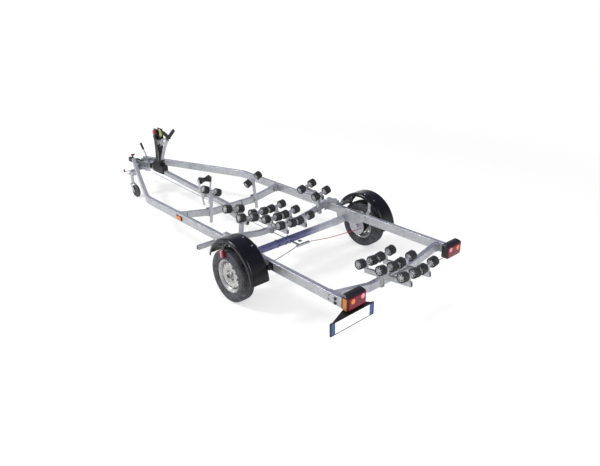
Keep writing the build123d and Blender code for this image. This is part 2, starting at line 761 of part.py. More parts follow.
def rocker_post():
    """Post clamped to the crossbeam, with the fork and pin that hold the rocker."""
    gap = rocker_bar_width / 2 + rocker_side_play
    fork = Pos(0, gap + 3, -8) * Box(44, 6, 84) + Pos(0, -gap - 3, -8) * Box(44, 6, 84)
    floor = Pos(0, 0, -47) * Box(44, 2 * gap + 12, 6)
    pin = along_y(pivot_pin_radius, 2 * gap + 24)
    head = rocker_place() * (fork + floor + pin)
    foot = (rocker_place() * Pos(0, 0, -48)).position
    base_y = foot.Y + 30
    base_z = beam_top(beams[1][2], base_y) - 78
    post_x = rocker_x - (beam_depth + rocker_post_size) / 2
    a, b = Vector(ax(post_x), base_y, base_z), Vector(ax(post_x), foot.Y, foot.Z)
    plane = Plane(origin=a, x_dir=(1, 0, 0), z_dir=b - a)
    post = extrude(plane * Rectangle(rocker_post_size, rocker_post_size), (b - a).length)
    bridge = block((post_x - rocker_post_size / 2, rocker_x + 22), (foot.Y - 24, foot.Y + 24), (foot.Z - 10, foot.Z))
    carrier = post + bridge
    for room in rocker_rooms():
        carrier -= room
    return head + carrier


side_tube_x = (246.0, 424.0)


def rail_top_tube():
    """Short square tube that lies on the rail beside the rocker."""
    size = 48.0
    y = (rail_y - size / 2, rail_y + size / 2)
    return block(side_tube_x, y, (rail_top, rail_top + size))


left_rocker = rocker_place() * rocker_frame()
left_post = rocker_post()
for side_name, side in sides.items():
    save(f"rocker_{side_name}", for_side(left_rocker, side))
    for row_name, row in (("front", 0.5), ("back", -0.5)):
        spot = rocker_place() * Pos(row * cradle_row_pitch, 0, rocker_bar_drop)
        pair = [for_side(spot * r, side) for r in pair_rollers(2 * rocker_pair_half)]
        save(f"rollers_rocker_{row_name}_{side_name}", *pair)
post_pieces = [left_post, rail_top_tube()]
save("rocker_posts", *post_pieces, *[mirrored(p) for p in post_pieces])

# bow posts on the front crossbeam, each with a fixed roller pair
bow_post_y = 352.0            # at the top of the beam
bow_post_low = 272.0
bow_post_top = 676.0
bow_post_width = 42.0
bow_post_thick = 14.0
bow_rod_z = 690.0
bow_pair_half = 95.0
bow_roll_deg = 24.0
bow_lean_deg = 5.5


def bow_frame():
    """Placement of the left post: on the crossbeam's rear face, leaning inwards."""
    x = beams[0][1] - (beam_depth + bow_post_thick) / 2
    return Pos(ax(x), bow_post_y, beams[0][2]) * Rot(bow_lean_deg, 0, 0)


def bow_pair_place():
    """Placement of the left post's roller pair."""
    return bow_frame() * Pos(0, 0, bow_rod_z - beams[0][2]) * Rot(bow_roll_deg - bow_lean_deg, 0, 0)


def bow_post():
    """Flat post with a hub for the rod, and the clamp round the crossbeam."""
    up, down = bow_post_top - beams[0][2], beams[0][2] - bow_post_low
    flat = Pos(0, 0, (up - down) / 2) * Box(bow_post_thick, bow_post_width, up + down)
    hub = bow_pair_place() * pair_rod(2 * bow_pair_half, 12)
    height = beams[0][3] + 34
    back = Pos(beam_depth + bow_post_thick, 0, -beams[0][3] / 2 + 4) * Box(8, 70, height)
    upper = Pos((beam_depth + 12) / 2, 0, 14) * Box(beam_depth + bow_post_thick + 8, 16, 8)
    lower = Pos((beam_depth + 12) / 2, 0, -beams[0][3] - 9) * Box(beam_depth + bow_post_thick + 8, 16, 8)
    return bow_frame() * (flat + back + upper + lower) + hub


# keel roller on a fork over the spine
keel_x = 2050.0
keel_z = 604.0
keel_half = 82.0
keel_radius_end = 52.0
keel_radius_mid = 30.0
fork_low_z = 236.0
fork_low_y = 41.0
fork_top_y = 104.0
fork_width = 40.0
fork_thick = 8.0
fork_over = 22.0              # arm beyond the pin


def keel_roller():
    """Waisted roller about Y on the fork's pin."""
    h = keel_half
    bore = rod_radius + rod_play
    body = revolved_y([
        (bore, -h), (keel_radius_end - 8, -h), (keel_radius_end, -h + 10), (keel_radius_mid + 4, -26), (keel_radius_mid, 0),
        (keel_radius_mid + 4, 26), (keel_radius_end, h - 10), (keel_radius_end - 8, h), (bore, h),
    ])
    return Pos(ax(keel_x), 0, keel_z) * body


def fork_y(z):
    """Middle of a fork arm's thickness at a height."""
    return fork_low_y + (z - fork_low_z) * (fork_top_y - fork_low_y) / (keel_z + fork_over - fork_low_z)


def keel_fork():
    """Two splayed flat arms, the plates that clamp them to the spine, and the pin."""
    foot = Vector(ax(keel_x), fork_low_y, fork_low_z)
    head = Vector(ax(keel_x), fork_top_y, keel_z + fork_over)
    plane = Plane(origin=foot, x_dir=(1, 0, 0), z_dir=head - foot)
    arm = extrude(plane * Rectangle(fork_width, fork_thick), (head - foot).length)
    pin = Pos(ax(keel_x), 0, keel_z) * along_y(rod_radius, 2 * fork_top_y + 24)
    width = (keel_x - fork_width / 2, keel_x + fork_width / 2)
    plates = []
    for low in (spine_z(keel_x) - spine_size / 2 - fork_thick, spine_z(keel_x) + spine_size / 2):
        reach = fork_y(low + fork_thick / 2)
        plates.append(block(width, (-reach, reach), (low, low + fork_thick)))
    return arm + mirrored(arm) + pin + plates[0] + plates[1] - spine_room()


bow_piece = bow_post()
bow_rollers = [bow_pair_place() * r for r in pair_rollers(2 * bow_pair_half)]
save("bow_posts", bow_piece, mirrored(bow_piece))
for side_name, side in sides.items():
    save(f"rollers_bow_{side_name}", *[for_side(r, side) for r in bow_rollers])
save("keel_fork", keel_fork())
save("keel_roller", keel_roller())

# ---------------------------------------------------------------- winch post, winch and bow stop
post_x = 3320.0
post_base_z = 500.0
post_top_z = 974.0
post_half_y = 46.0
post_depth = 84.0
winch_drum_radius = 62.0
winch_drum_half = 26.0
winch_plate_gap = 2.0
bow_stop_x = 2965.0
bow_stop_z = 1030.0


def post_leaning(shape):
    """Put a shape, drawn upright over its foot, on the leaning post."""
    return Pos(ax(post_x), 0, post_base_z) * Rot(0, -winch_post_lean, 0) * shape


def winch_post():
    """Galvanised channel with a stay to the bow stop."""
    height = post_top_z - post_base_z
    web = Pos(post_depth / 2 - 3, 0, height / 2) * Box(6, 2 * post_half_y, height)
    flank = Pos(0, post_half_y - 3, height / 2) * Box(post_depth, 6, height)
    channel = post_leaning(web + flank + mirrored(flank))
    stay = rod((3262, 0, 852), (bow_stop_x + 10, 0, bow_stop_z - 42), 15)
    stay += rod((3270, 0, 930), (bow_stop_x + 4, 0, bow_stop_z - 6), 15)
    clear = post_leaning(Pos(-200 - post_depth / 2, 0, 400) * Box(400, 200, 1200))
    return channel + (stay & clear) + post_leaning(Pos(-post_depth / 2 + 3, 0, 395) * Box(6, 2 * post_half_y, 130))


def winch_foot():
    """Black saddle that carries the post on the spine."""
    half = spine_size / 2
    outline = Polyline((3170, 430), (3170, 548), (3240, 560), (3300, 620), (3372, 620), (3480, 548), (3480, 430), close=True)
    block_ = Pos(shift, 48, 0) * extrude(Plane.XZ * make_face(outline), 96)
    post_room = post_leaning(Pos(0, 0, 300) * Box(post_depth + 0.6, 2 * post_half_y + 0.6, 600))
    under = spine_room()
    lower = block((3000, 3600), (-half - 0.2, half + 0.2), (300, spine_z(3325) - 10))
    return block_ - post_room - under - lower


def winch_body():
    """Side plates, gear cover and the strap's tie bars."""
    plate = Pos(0, winch_drum_half + 5, 0) * Box(150, 6, 150)
    plate = plate + mirrored(plate)
    cover = Pos(0, winch_drum_half + 22, 4) * along_y(58, 28)
    base = Pos(28, 0, -72) * Box(100, 2 * winch_drum_half + 16, 6)
    axle = along_y(rod_radius, 2 * winch_drum_half + 96)
    return Pos(ax(winch_x), 0, winch_z) * (plate + cover + base + axle)


def winch_drum():
    """Wound strap on its drum."""
    body = revolved_y([
        (rod_radius + rod_play, -winch_drum_half + 2), (34, -winch_drum_half + 2), (34, -winch_drum_half + 4),
        (winch_drum_radius, -winch_drum_half + 4), (winch_drum_radius, winch_drum_half - 4),
        (34, winch_drum_half - 4), (34, winch_drum_half - 2), (rod_radius + rod_play, winch_drum_half - 2),
    ])
    return Pos(ax(winch_x), 0, winch_z) * body


def bow_stop():
    """V block: two padded wings that take the boat's stem."""
    wing = Pos(-22, 44, 58) * Rot(-40, 0, 0) * Rot(0, -18, 0) * Box(44, 26, 132)
    heart = Pos(0, 0, 6) * Box(56, 52, 44)
    return Pos(ax(bow_stop_x), 0, bow_stop_z) * (wing + mirrored(wing) + heart)


bow_stop_piece = bow_stop()
winch_piece = winch_body()
save("winch_post", winch_post() - bow_stop_piece - winch_piece)
save("winch_foot", winch_foot())
save("winch_body", winch_piece)
save("winch_drum", winch_drum())
save("bow_stop", bow_stop_piece)

# ---------------------------------------------------------------- jockey wheel
leg_play = 0.3


def jockey_clamp():
    """Clamp hung from the rail, round the outer tube."""
    rail_face = rail_outer_at(jockey_x)
    under = rail_low - gusset_thick
    plate = block((jockey_x - 60, jockey_x + 60), (rail_face - 60, jockey_y - 20), (under - 8, under))
    drop = block((jockey_x - 30, jockey_x + 30), (rail_face - 22, jockey_y - 14), (330, under - 8))
    collar = Pos(ax(jockey_x), jockey_y, 372) * Cylinder(jockey_tube_radius + 8, 64)
    bore = Pos(ax(jockey_x), jockey_y, 372) * Cylinder(jockey_tube_radius, 400)
    screw = rod((jockey_x, jockey_y + jockey_tube_radius + 6, 372), (jockey_x, jockey_y + 82, 372), 7)
    return plate + drop + collar + screw - bore


def jockey_tube():
    """Outer tube with its cap and crank."""
    height = jockey_tube_top - jockey_tube_low
    middle = (jockey_tube_top + jockey_tube_low) / 2
    tube = Pos(ax(jockey_x), jockey_y, middle) * Cylinder(jockey_tube_radius, height)
    bore = Pos(ax(jockey_x), jockey_y, middle - 12) * Cylinder(jockey_leg_radius + leg_play, height)
    cap = Pos(ax(jockey_x), jockey_y, jockey_tube_top + 6) * Cylinder(jockey_tube_radius - 5, 14)
    crank = rod((jockey_x, jockey_y - 6, jockey_tube_top + 12), (jockey_x + 8, 392, jockey_tube_top + 16), 6)
    knob = rod((jockey_x + 8, 392, jockey_tube_top + 8), (jockey_x + 8, 392, jockey_tube_top + 46), 12)
    return tube - bore + cap + crank + knob


def jockey_leg():
    """Inner tube that slides in the outer one."""
    low, top = jockey_leg_low, jockey_tube_top - 42
    return Pos(ax(jockey_x), jockey_y, (low + top) / 2) * Cylinder(jockey_leg_radius, top - low)


def jockey_fork():
    """Swivelling fork with the wheel's pin."""
    half = jockey_wheel_width / 2 + 5
    top_z = jockey_leg_low - 0.3
    wheel_x, wheel_z = jockey_x - jockey_trail, jockey_wheel_radius
    outline = Polyline(
        (jockey_x - 28, top_z), (jockey_x + 28, top_z), (jockey_x + 24, top_z - 40), (wheel_x + 16, wheel_z - 18),
        (wheel_x - 16, wheel_z - 18), (wheel_x - 18, wheel_z + 14), close=True,
    )
    cheek = Pos(shift, jockey_y + half + 5, 0) * extrude(Plane.XZ * make_face(outline), 5)
    other = Pos(0, -2 * half - 5, 0) * cheek
    bridge = block((jockey_x - 28, jockey_x + 28), (jockey_y - half - 5, jockey_y + half + 5), (top_z - 9, top_z))
    pin = Pos(ax(wheel_x), jockey_y, wheel_z) * along_y(rod_radius, 2 * half + 22)
    return cheek + other + bridge + pin


def jockey_wheel():
    """Solid rubber wheel on a plain hub."""
    h, r = jockey_wheel_width / 2, jockey_wheel_radius
    bore = rod_radius + rod_play
    body = revolved_y([
        (bore, -h + 2), (24, -h + 2), (26, -h + 12), (62, -h + 12), (66, -h + 3), (r - 14, -h), (r, -h + 12), (r, h - 12),
        (r - 14, h), (66, h - 3), (62, h - 12), (26, h - 12), (24, h - 2), (bore, h - 2),
    ])
    return Pos(ax(jockey_x - jockey_trail), jockey_y, jockey_wheel_radius) * body


save("jockey_tube", jockey_tube() + jockey_clamp())
save("jockey_leg", jockey_leg())
save("jockey_fork", jockey_fork())
save("jockey_wheel", jockey_wheel())

# ---------------------------------------------------------------- lamps, plate and cables
lamp_back = 1478.0            # rear face of the lenses, behind the axle
lamp_depth = 68.0
lamp_width = 238.0
lamp_low = 440.0
lamp_lens_top = 566.0          # top of the rear face
lamp_top = 590.0
lamp_y = 731.0
holder_width = 540.0
holder_height = 124.0
holder_thick = 8.0
holder_y = 805.0
holder_z = 372.0
shelf_thick = 5.0
number_width = 520.0
number_height = 110.0
number_thick = 3.0


def tail_lamp():
    """Left lamp: housing with a sloped top, and its bracket to the rail's end."""
    front = -lamp_back + lamp_depth
    outline = Polyline(
        (-lamp_back, lamp_low), (-lamp_back, lamp_lens_top), (-lamp_back + 34, lamp_top), (front, lamp_top),
        (front, lamp_low), close=True,
    )
    housing = Pos(shift, lamp_y + lamp_width / 2, 0) * extrude(Plane.XZ * make_face(outline), lamp_width)
    housing = chamfer(housing.edges().filter_by(Axis.X), 14)
    bracket = block((front, -rail_tail), (rail_inner + 2, rail_outer - 2), (rail_low + 24, rail_top - 4))
    return housing + bracket


def plate_holder():
    """Flat holder with its tapered shelf under the lamp."""
    back = -plate_back + number_thick
    panel = block(
        (back, back + holder_thick), (holder_y - holder_width / 2, holder_y + holder_width / 2),
        (holder_z - holder_height / 2, holder_z + holder_height / 2),
    )
    shelf_low = holder_z + holder_height / 2 - shelf_thick
    front = -lamp_back + lamp_depth - 4
    corners = Polyline(
        (ax(back), holder_y - holder_width / 2 + 12), (ax(back), holder_y + holder_width / 2 - 12),
        (ax(front), lamp_y + lamp_width / 2 - 14), (ax(front), lamp_y - lamp_width / 2 + 14), close=True,
    )
    shelf = Pos(0, 0, shelf_low) * extrude(make_face(corners), shelf_thick)
    foot = block((front - 44, front), (lamp_y - 60, lamp_y + 60), (shelf_low, lamp_low - 0.2))
    return panel + shelf + foot


def number_plate():
    """Blank plate on the holder."""
    return block(
        (-plate_back, -plate_back + number_thick), (holder_y - number_width / 2, holder_y + number_width / 2),
        (holder_z - number_height / 2, holder_z + number_height / 2),
    )


def side_marker():
    """Side marker lamp on the rail's outer face."""
    marker = block((1310, 1420), (rail_outer, rail_outer + 14), (440, 492))
    return chamfer(marker.faces().sort_by(Axis.Y)[-1].edges(), 5)


cable_radius = 4.0
lamp_cable_radius = 3.5
# routes: x from the axle, y, z
brake_cable_route = [
    (28, 90, 306), (10, 180, 300), (-6, 300, 286), (-20, 420, 276), (-26, 540, 270), (-34, 660, 264), (-50, 770, 260),
    (-62, 869.6, 262),
]
lamp_cable_route = [
    (-1408.2, -738, 462), (-1384, -738, 452), (-1364, -734, 378), (-1336, -706, 356), (-1308, -672, 352),
    (-1282, -640, 362), (-1264, -612, 384),
]


def cable(route, radius):
    """Six-sided cable through a route's points."""
    path = Polyline(*[(ax(x), y, z) for x, y, z in route])
    section = Plane(origin=path @ 0, z_dir=path % 0) * RegularPolygon(radius, 6)
    return sweep(section, path=path, transition=Transition.RIGHT)


def brake_cable():
    """Bowden cable from the compensator to the left backplate."""
    return cable(brake_cable_route, cable_radius)


def lamp_cable():
    """Slack lead from the right lamp to the rear crossbeam."""
    return cable(lamp_cable_route, lamp_cable_radius)


def compensator():
    """Pull bar at the axle where the rod meets the two brake cables."""
    bar = block((10, 40), (-98, 98), (296, 316))
    eye = block((40, 200), (brake_rod_y - 12, brake_rod_y + 12), (297, 311))
    hanger = block((70, 110), (-30, 10), (316, axle_z - axle_flats / 2))
    base = block((40, 112), (-30, brake_rod_y), (308, 316))
    return bar + eye + hanger + base


lamps = [tail_lamp(), side_marker()]
save("lamps", *lamps, *[mirrored(lamp) for lamp in lamps])
save("plate_holder", plate_holder() + number_plate())
save("brake_linkage", brake_rod() + compensator() + brake_cable() + mirrored(brake_cable()))
save("lamp_cable", lamp_cable())
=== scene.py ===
"""Boat trailer: finishes, tyres, rollers, fenders, lamps and small parts over the fixed frame."""

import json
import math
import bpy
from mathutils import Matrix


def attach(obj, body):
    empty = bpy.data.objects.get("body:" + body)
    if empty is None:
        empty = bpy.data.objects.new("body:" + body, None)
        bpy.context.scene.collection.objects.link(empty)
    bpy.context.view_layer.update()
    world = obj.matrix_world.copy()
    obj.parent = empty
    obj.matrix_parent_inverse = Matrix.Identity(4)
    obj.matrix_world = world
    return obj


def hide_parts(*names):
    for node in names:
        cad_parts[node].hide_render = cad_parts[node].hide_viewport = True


bl_info = {
    "name": "Boat trailer",
    "version": (1, 0, 0),
    "blender": (4, 5, 0),
    "location": "View3D > Sidebar > Trailer",
    "description": "Builds the visible pieces and finishes of a roller boat trailer",
    "category": "Add Mesh",
}

import bmesh
import bpy
import numpy as np
from bpy.props import FloatProperty, FloatVectorProperty, IntProperty, PointerProperty
from bpy.types import Operator, Panel, PropertyGroup
from mathutils import Matrix, Vector

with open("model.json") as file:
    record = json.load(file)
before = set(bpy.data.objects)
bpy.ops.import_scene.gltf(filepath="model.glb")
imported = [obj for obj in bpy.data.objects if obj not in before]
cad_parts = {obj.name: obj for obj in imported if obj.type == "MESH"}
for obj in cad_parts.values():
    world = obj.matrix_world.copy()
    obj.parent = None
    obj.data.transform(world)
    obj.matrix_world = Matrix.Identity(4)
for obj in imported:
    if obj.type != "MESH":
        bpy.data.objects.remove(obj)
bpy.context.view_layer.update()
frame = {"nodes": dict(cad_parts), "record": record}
joints = {j["name"]: j for j in frame["record"]["behaviour"]["joints"]}
nodes = frame["nodes"]

# ---------------- driving sizes
# Millimetres. X is counted from the wheel axis, Y from the middle plane and Z from the ground.
AXLE = joints["wheel_left_spin"]["pos_m"][0] * 1000             # wheel axis, from the middle of the trailer
RAIL_OUTER, RAIL_MIDDLE, RAIL_WIDTH = 812.0, 470.0, 50.0        # outer face, height of the middle, width
RAIL_BEND_X, RAIL_BEND_DEG = 2225.0, 20.8                       # where the rails turn in, and how far
BEAM_X = {"front": 1405.0, "middle": 435.0, "rear": -1247.0}
HALF_TRACK = 1001.0
TYRE_RADIUS, TYRE_WIDTH = 289.0, 155.0
DISC_FACE, BOLT_CIRCLE = 36.0, 50.0                             # from the wheel's middle; radius of the bolts
ROLLER_RADIUS, ROLLER_WIDTH, ROLLER_HUB = 50.0, 75.0, 36.0
HALF_PAIR = {"bow": 95.0, "rocker": 88.0, "middle": 85.0, "rear": 85.0}     # from a pair's pivot to a roller
FENDER_X, FENDER_Z, FENDER_RADIUS = -50.0, 322.0, 393.0
FENDER_Y, FENDER_WIDTH = 966.0, 220.0
FENDER_SPAN = (18.0, 177.0)                                     # degrees round its arc, from the front
SIDES = {"left": 1, "right": -1}


# ---------------- colours and nodes
def linear(code):
    """Linear red, green, blue and alpha of an sRGB hex colour."""
    parts = [int(code[i:i + 2], 16) / 255 for i in (1, 3, 5)]
    return (*[c / 12.92 if c <= 0.04045 else ((c + 0.055) / 1.055) ** 2.4 for c in parts], 1.0)


def feed(node, links):
    """Gives a node's inputs their values or links. A node given as a value stands for its first output."""
    for socket, value in links.items():
        source = value.outputs[0] if isinstance(value, bpy.types.Node) else value
        if isinstance(source, bpy.types.NodeSocket):
            node.id_data.links.new(source, node.inputs[socket])
        else:
            node.inputs[socket].default_value = value


def add(tree, kind, links=(), stops=(), **settings):
    """Shader node of a kind: properties set by name, a ramp's stops placed, and inputs given or linked."""
    made = tree.nodes.new("ShaderNode" + kind)
    for name, value in settings.items():
        setattr(made, name, value)
    for index, (place, colour) in enumerate(stops):
        made.color_ramp.elements[index].position = place
        made.color_ramp.elements[index].color = linear(colour) if isinstance(colour, str) else colour
    feed(made, dict(links))
    return made


def fresh(name, **shader):
    """Empty material with one Principled shader and the coordinates of its object in metres."""
    material = bpy.data.materials.new(name)
    material.use_nodes = True
    tree = material.node_tree
    tree.nodes.clear()
    body = add(tree, "BsdfPrincipled", {k.replace("_", " "): v for k, v in shader.items()})
    add(tree, "OutputMaterial", {"Surface": body})
    where = add(tree, "TexCoord").outputs["Object"]
    return material, tree, body, where


def per_mm(size):
    """Texture scale for a pattern of that size in millimetres, on coordinates in metres."""
    return 1000.0 / size


# ---------------- materials
def galvanised_steel():
    """Hot-dip galvanised mild steel: dull zinc, faint crystals, cloudy patches and drying marks."""
    m, t, body, where = fresh("hot_dip_galvanised_steel", Metallic=0.85)
    crystal = add(t, "TexVoronoi", {"Vector": where, "Scale": per_mm(22)})
    cloud = add(t, "TexNoise", {"Vector": where, "Scale": per_mm(170), "Detail": 5.0, "Roughness": 0.6})
    grain = add(t, "TexNoise", {"Vector": where, "Scale": per_mm(9), "Detail": 3.0})
    shade = add(t, "SeparateColor", {"Color": crystal.outputs["Color"]})
    spangle = add(t, "Math", {0: shade, 1: 0.16, 2: 0.2}, operation="MULTIPLY_ADD")
    tone = add(t, "Math", {0: cloud, 1: 0.6, 2: spangle}, operation="MULTIPLY_ADD")
    ramp = add(t, "ValToRGB", {"Fac": tone}, [(0.35, "#9b9da4"), (0.85, "#cacccd")])
    rough = add(t, "Math", {0: shade.outputs["Green"], 1: 0.14, 2: 0.4}, operation="MULTIPLY_ADD")
    bump = add(t, "Bump", {"Height": grain, "Distance": 0.0006, "Strength": 0.35})
    feed(body, {"Base Color": ramp, "Roughness": rough, "Normal": bump})
    return m


def zinc_plated_steel():
    """Bright zinc-plated steel of bolts and rods: smoother and a little bluer than the frame."""
    m, t, body, where = fresh("bright_zinc_plated_steel", Metallic=0.9, Roughness=0.3)
    cloud = add(t, "TexNoise", {"Vector": where, "Scale": per_mm(30), "Detail": 3.0})
    ramp = add(t, "ValToRGB", {"Fac": cloud}, [(0.0, "#8f9398"), (1.0, "#c9ccce")])
    feed(body, {"Base Color": ramp})
    return m


def zinc_axle_with_painted_reflection():
    """Zinc axle tube with a painted reflection: a cloudy slate-blue tone from the left rail past the middle
    stands in for a blue reflection, then plain zinc to the right end.
    The trailing arms outboard of the rails are zinc too. Both edges are ramps over the distance along Y."""
    m, t, body, where = fresh("zinc_axle_with_painted_blue_reflection", Metallic=0.45, Roughness=0.4)
    cloud = add(t, "TexNoise", {"Vector": where, "Scale": per_mm(120), "Detail": 6.0, "Roughness": 0.65})
    # painted reflection: the slate-blue tone stands in for a blue reflection on the zinc tube
    blue_reflection_tone = add(t, "ValToRGB", {"Fac": cloud}, [(0.3, "#41456c"), (0.75, "#6e7296")])
    zinc = add(t, "ValToRGB", {"Fac": cloud}, [(0.3, "#a4a6b0"), (0.75, "#cbcdd1")])
    y = add(t, "SeparateXYZ", {"Vector": where}).outputs["Y"]
    right = add(t, "MapRange", {"Value": y, "From Min": -0.1, "From Max": -0.42})
    outboard = add(t, "MapRange", {"Value": y, "From Min": 0.826, "From Max": 0.83})
    bare = add(t, "Math", {0: right, 1: outboard}, operation="MAXIMUM")
    # inputs 0, 6 and 7 are the share and the two colours, and output 2 is the colour
    mix = add(t, "Mix", {0: bare, 6: blue_reflection_tone, 7: zinc}, data_type="RGBA")
    feed(body, {"Base Color": mix.outputs[2]})
    return m


def black_fender_plastic():
    """Black gloss polypropylene of the fenders: deep and shiny, duller where fine dust lies in patches."""
    m, t, body, where = fresh("black_gloss_fender_plastic", Specular_IOR_Level=0.3)
    dust = add(t, "TexNoise", {"Vector": where, "Scale": per_mm(60), "Detail": 6.0, "Roughness": 0.7})
    ramp = add(t, "ValToRGB", {"Fac": dust}, [(0.45, "#09090b"), (0.8, "#141418")])
    rough = add(t, "Math", {0: dust, 1: 0.25, 2: 0.12}, operation="MULTIPLY_ADD")
    feed(body, {"Base Color": ramp, "Roughness": rough})
    return m


def black_rubber(name, light, dark, mm, roughness):
    """Moulded black rubber: dull, a little grey where it is dusty, with a fine cast skin.
    The skin's grain is drawn at 2.5 mm, coarser than the real one, so that it shows."""
    m, t, body, where = fresh(name, Roughness=roughness, Specular_IOR_Level=0.35)
    dust = add(t, "TexNoise", {"Vector": where, "Scale": per_mm(mm), "Detail": 5.0, "Roughness": 0.65})
    ramp = add(t, "ValToRGB", {"Fac": dust}, [(0.4, dark), (0.75, light)])
    skin = add(t, "TexNoise", {"Vector": where, "Scale": per_mm(2.5), "Detail": 2.0})
    bump = add(t, "Bump", {"Height": skin, "Distance": 0.0003, "Strength": 0.4})
    feed(body, {"Base Color": ramp, "Normal": bump})
    return m


def wheel_paint():
    """Silver wheel lacquer: fine metal flake under a thin clear coat, with patches of brake dust.
    The flake is drawn at 3 mm, far coarser than the real one, so that it shows."""
    m, t, body, where = fresh("silver_wheel_lacquer", Metallic=0.6, Roughness=0.38, Coat_Weight=0.3)
    flake = add(t, "TexNoise", {"Vector": where, "Scale": per_mm(3), "Detail": 2.0})
    dust = add(t, "TexNoise", {"Vector": where, "Scale": per_mm(90), "Detail": 4.0})
    fine = add(t, "Math", {0: flake, 1: 0.4, 2: 0.1}, operation="MULTIPLY_ADD")
    tone = add(t, "Math", {0: dust, 1: 0.6, 2: fine}, operation="MULTIPLY_ADD")
    ramp = add(t, "ValToRGB", {"Fac": tone}, [(0.3, "#8e8e8c"), (0.75, "#c2c1bf")])
    feed(body, {"Base Color": ramp})
    return m


def moulded_plastic(name, code, roughness=0.35, spread=0.06):
    """Moulded plastic in one colour: cloudy by up to twice the spread each way, with a soft sheen."""
    m, t, body, where = fresh(name, Roughness=roughness)
    cloud = add(t, "TexNoise", {"Vector": where, "Scale": per_mm(25), "Detail": 3.0})
    dark = (*[c * (1 - 2 * spread) for c in linear(code)[:3]], 1)
    light = (*[min(1, c * (1 + 2 * spread)) for c in linear(code)[:3]], 1)
    ramp = add(t, "ValToRGB", {"Fac": cloud}, [(0.0, dark), (1.0, light)])
    feed(body, {"Base Color": ramp})
    return m


def lens_plastic(name, code, mm=5.0):
    """Ribbed acrylic lamp lens: clear gloss over a grid of small prisms."""
    m, t, body, where = fresh(name, Roughness=0.2, Specular_IOR_Level=0.35, IOR=1.49)
    cells = {"Vector": where, "Scale": per_mm(mm), "Randomness": 0.0}
    prism = add(t, "TexVoronoi", cells, distance="CHEBYCHEV")
    light = (*[min(1, c * 1.25) for c in linear(code)[:3]], 1)
    dark = (*[c * 0.6 for c in linear(code)[:3]], 1)
    ramp = add(t, "ValToRGB", {"Fac": prism}, [(0.0, light), (1.0, dark)])
    bump = add(t, "Bump", {"Height": prism, "Distance": 0.0008, "Strength": 0.5})
    feed(body, {"Base Color": ramp, "Normal": bump})
    return m


def woven_webbing():
    """Polyester winch strap: yellow-green, flat weave of 3 mm picks across the strap."""
    m, t, body, where = fresh("polyester_winch_webbing", Roughness=0.8, Sheen_Weight=0.3)
    picks = {"Vector": where, "Scale": per_mm(3 * 2 * math.pi), "Distortion": 1.0}
    weave = add(t, "TexWave", picks)
    ramp = add(t, "ValToRGB", {"Fac": weave.outputs["Fac"]}, [(0.0, "#8f9a4a"), (1.0, "#c3cc8a")])
    feed(body, {"Base Color": ramp})
    return m


MATERIALS = {
    "galvanised": galvanised_steel(),
    "zinc": zinc_plated_steel(),
    "axle": zinc_axle_with_painted_reflection(),
    "fender": black_fender_plastic(),
    "tyre": black_rubber("tyre_tread_rubber", "#585a5f", "#333438", 45, 0.72),
    # the roller's rubber, also used for the black rings of painted shade behind the roller spokes
    "roller": black_rubber("roller_rubber_and_painted_shade", "#38393b", "#131415", 30, 0.5),
    "gaiter": black_rubber("moulded_gaiter_rubber", "#2a2a2d", "#111113", 20, 0.6),
    "hub": moulded_plastic("grey_nylon_roller_hub", "#bcbebe", 0.4, 0.06),
    "rim": wheel_paint(),
    # black powder coat of the real black parts, also used for the painted shade of the winch post's sheets
    # and the brake drums
    "black_metal": moulded_plastic("black_powder_coat_and_painted_shade", "#0d0d10", 0.5),
    "black_plastic": moulded_plastic("black_abs_housing", "#0e0e10", 0.42),
    "red_plastic": moulded_plastic("red_nylon_handle", "#7d1a26", 0.35),
    "red_lens": lens_plastic("red_acrylic_lens", "#650a1c"),
    "amber_lens": lens_plastic("amber_acrylic_lens", "#c9702a"),
    "reflector": lens_plastic("pink_round_reflector", "#cf8292", 4.0),
    "plate_white": moulded_plastic("white_reflective_plate", "#f4f4f2", 0.3, 0.01),
    "plate_blue": moulded_plastic("blue_reflective_band", "#1f467c", 0.3, 0.05),
    "band": moulded_plastic("grey_vinyl_band", "#98a2a4", 0.4, 0.03),
    "strap": woven_webbing(),
    "black_sheath": moulded_plastic("black_pvc_sheath", "#141416", 0.5),
    "red_sheath": moulded_plastic("red_pvc_sheath", "#a02030", 0.45),
}


# ---------------- shells: (points, faces), in millimetres
def lattice(grid, around=False, along=False, capped=False):
    """Quads over a grid of points. around closes its second direction and along its first;
    capped fills both end rings."""
    grid = np.asarray(grid, float)
    rows, columns = grid.shape[:2]
    number = np.arange(rows * columns).reshape(rows, columns)
    if around:
        number = np.concatenate([number, number[:, :1]], 1)
    if along:
        number = np.concatenate([number, number[:1]], 0)
    corners = [number[:-1, :-1], number[1:, :-1], number[1:, 1:], number[:-1, 1:]]
    quads = np.stack(corners, -1).reshape(-1, 4)
    faces = quads.tolist()
    if capped:
        faces += [number[0, :columns].tolist(), number[rows - 1, :columns].tolist()]
    return grid.reshape(-1, 3), faces


def turned(profile, steps=48, closed=True, swell=None):
    """Profile of (radius, distance) carried round Y: x = r cos a, z = r sin a, y = distance.
    swell gives a change of radius from the angle and the profile's rows."""
    profile = np.asarray(profile, float)
    angle = np.linspace(0, 2 * np.pi, steps, endpoint=False)
    radius = profile[:, :1] + (swell(angle[None, :], profile) if swell else 0 * angle[None, :])
    y = profile[:, 1:] + 0 * angle[None, :]
    grid = np.stack([radius * np.cos(angle), y, radius * np.sin(angle)], -1)
    return lattice(grid, around=True, along=closed)


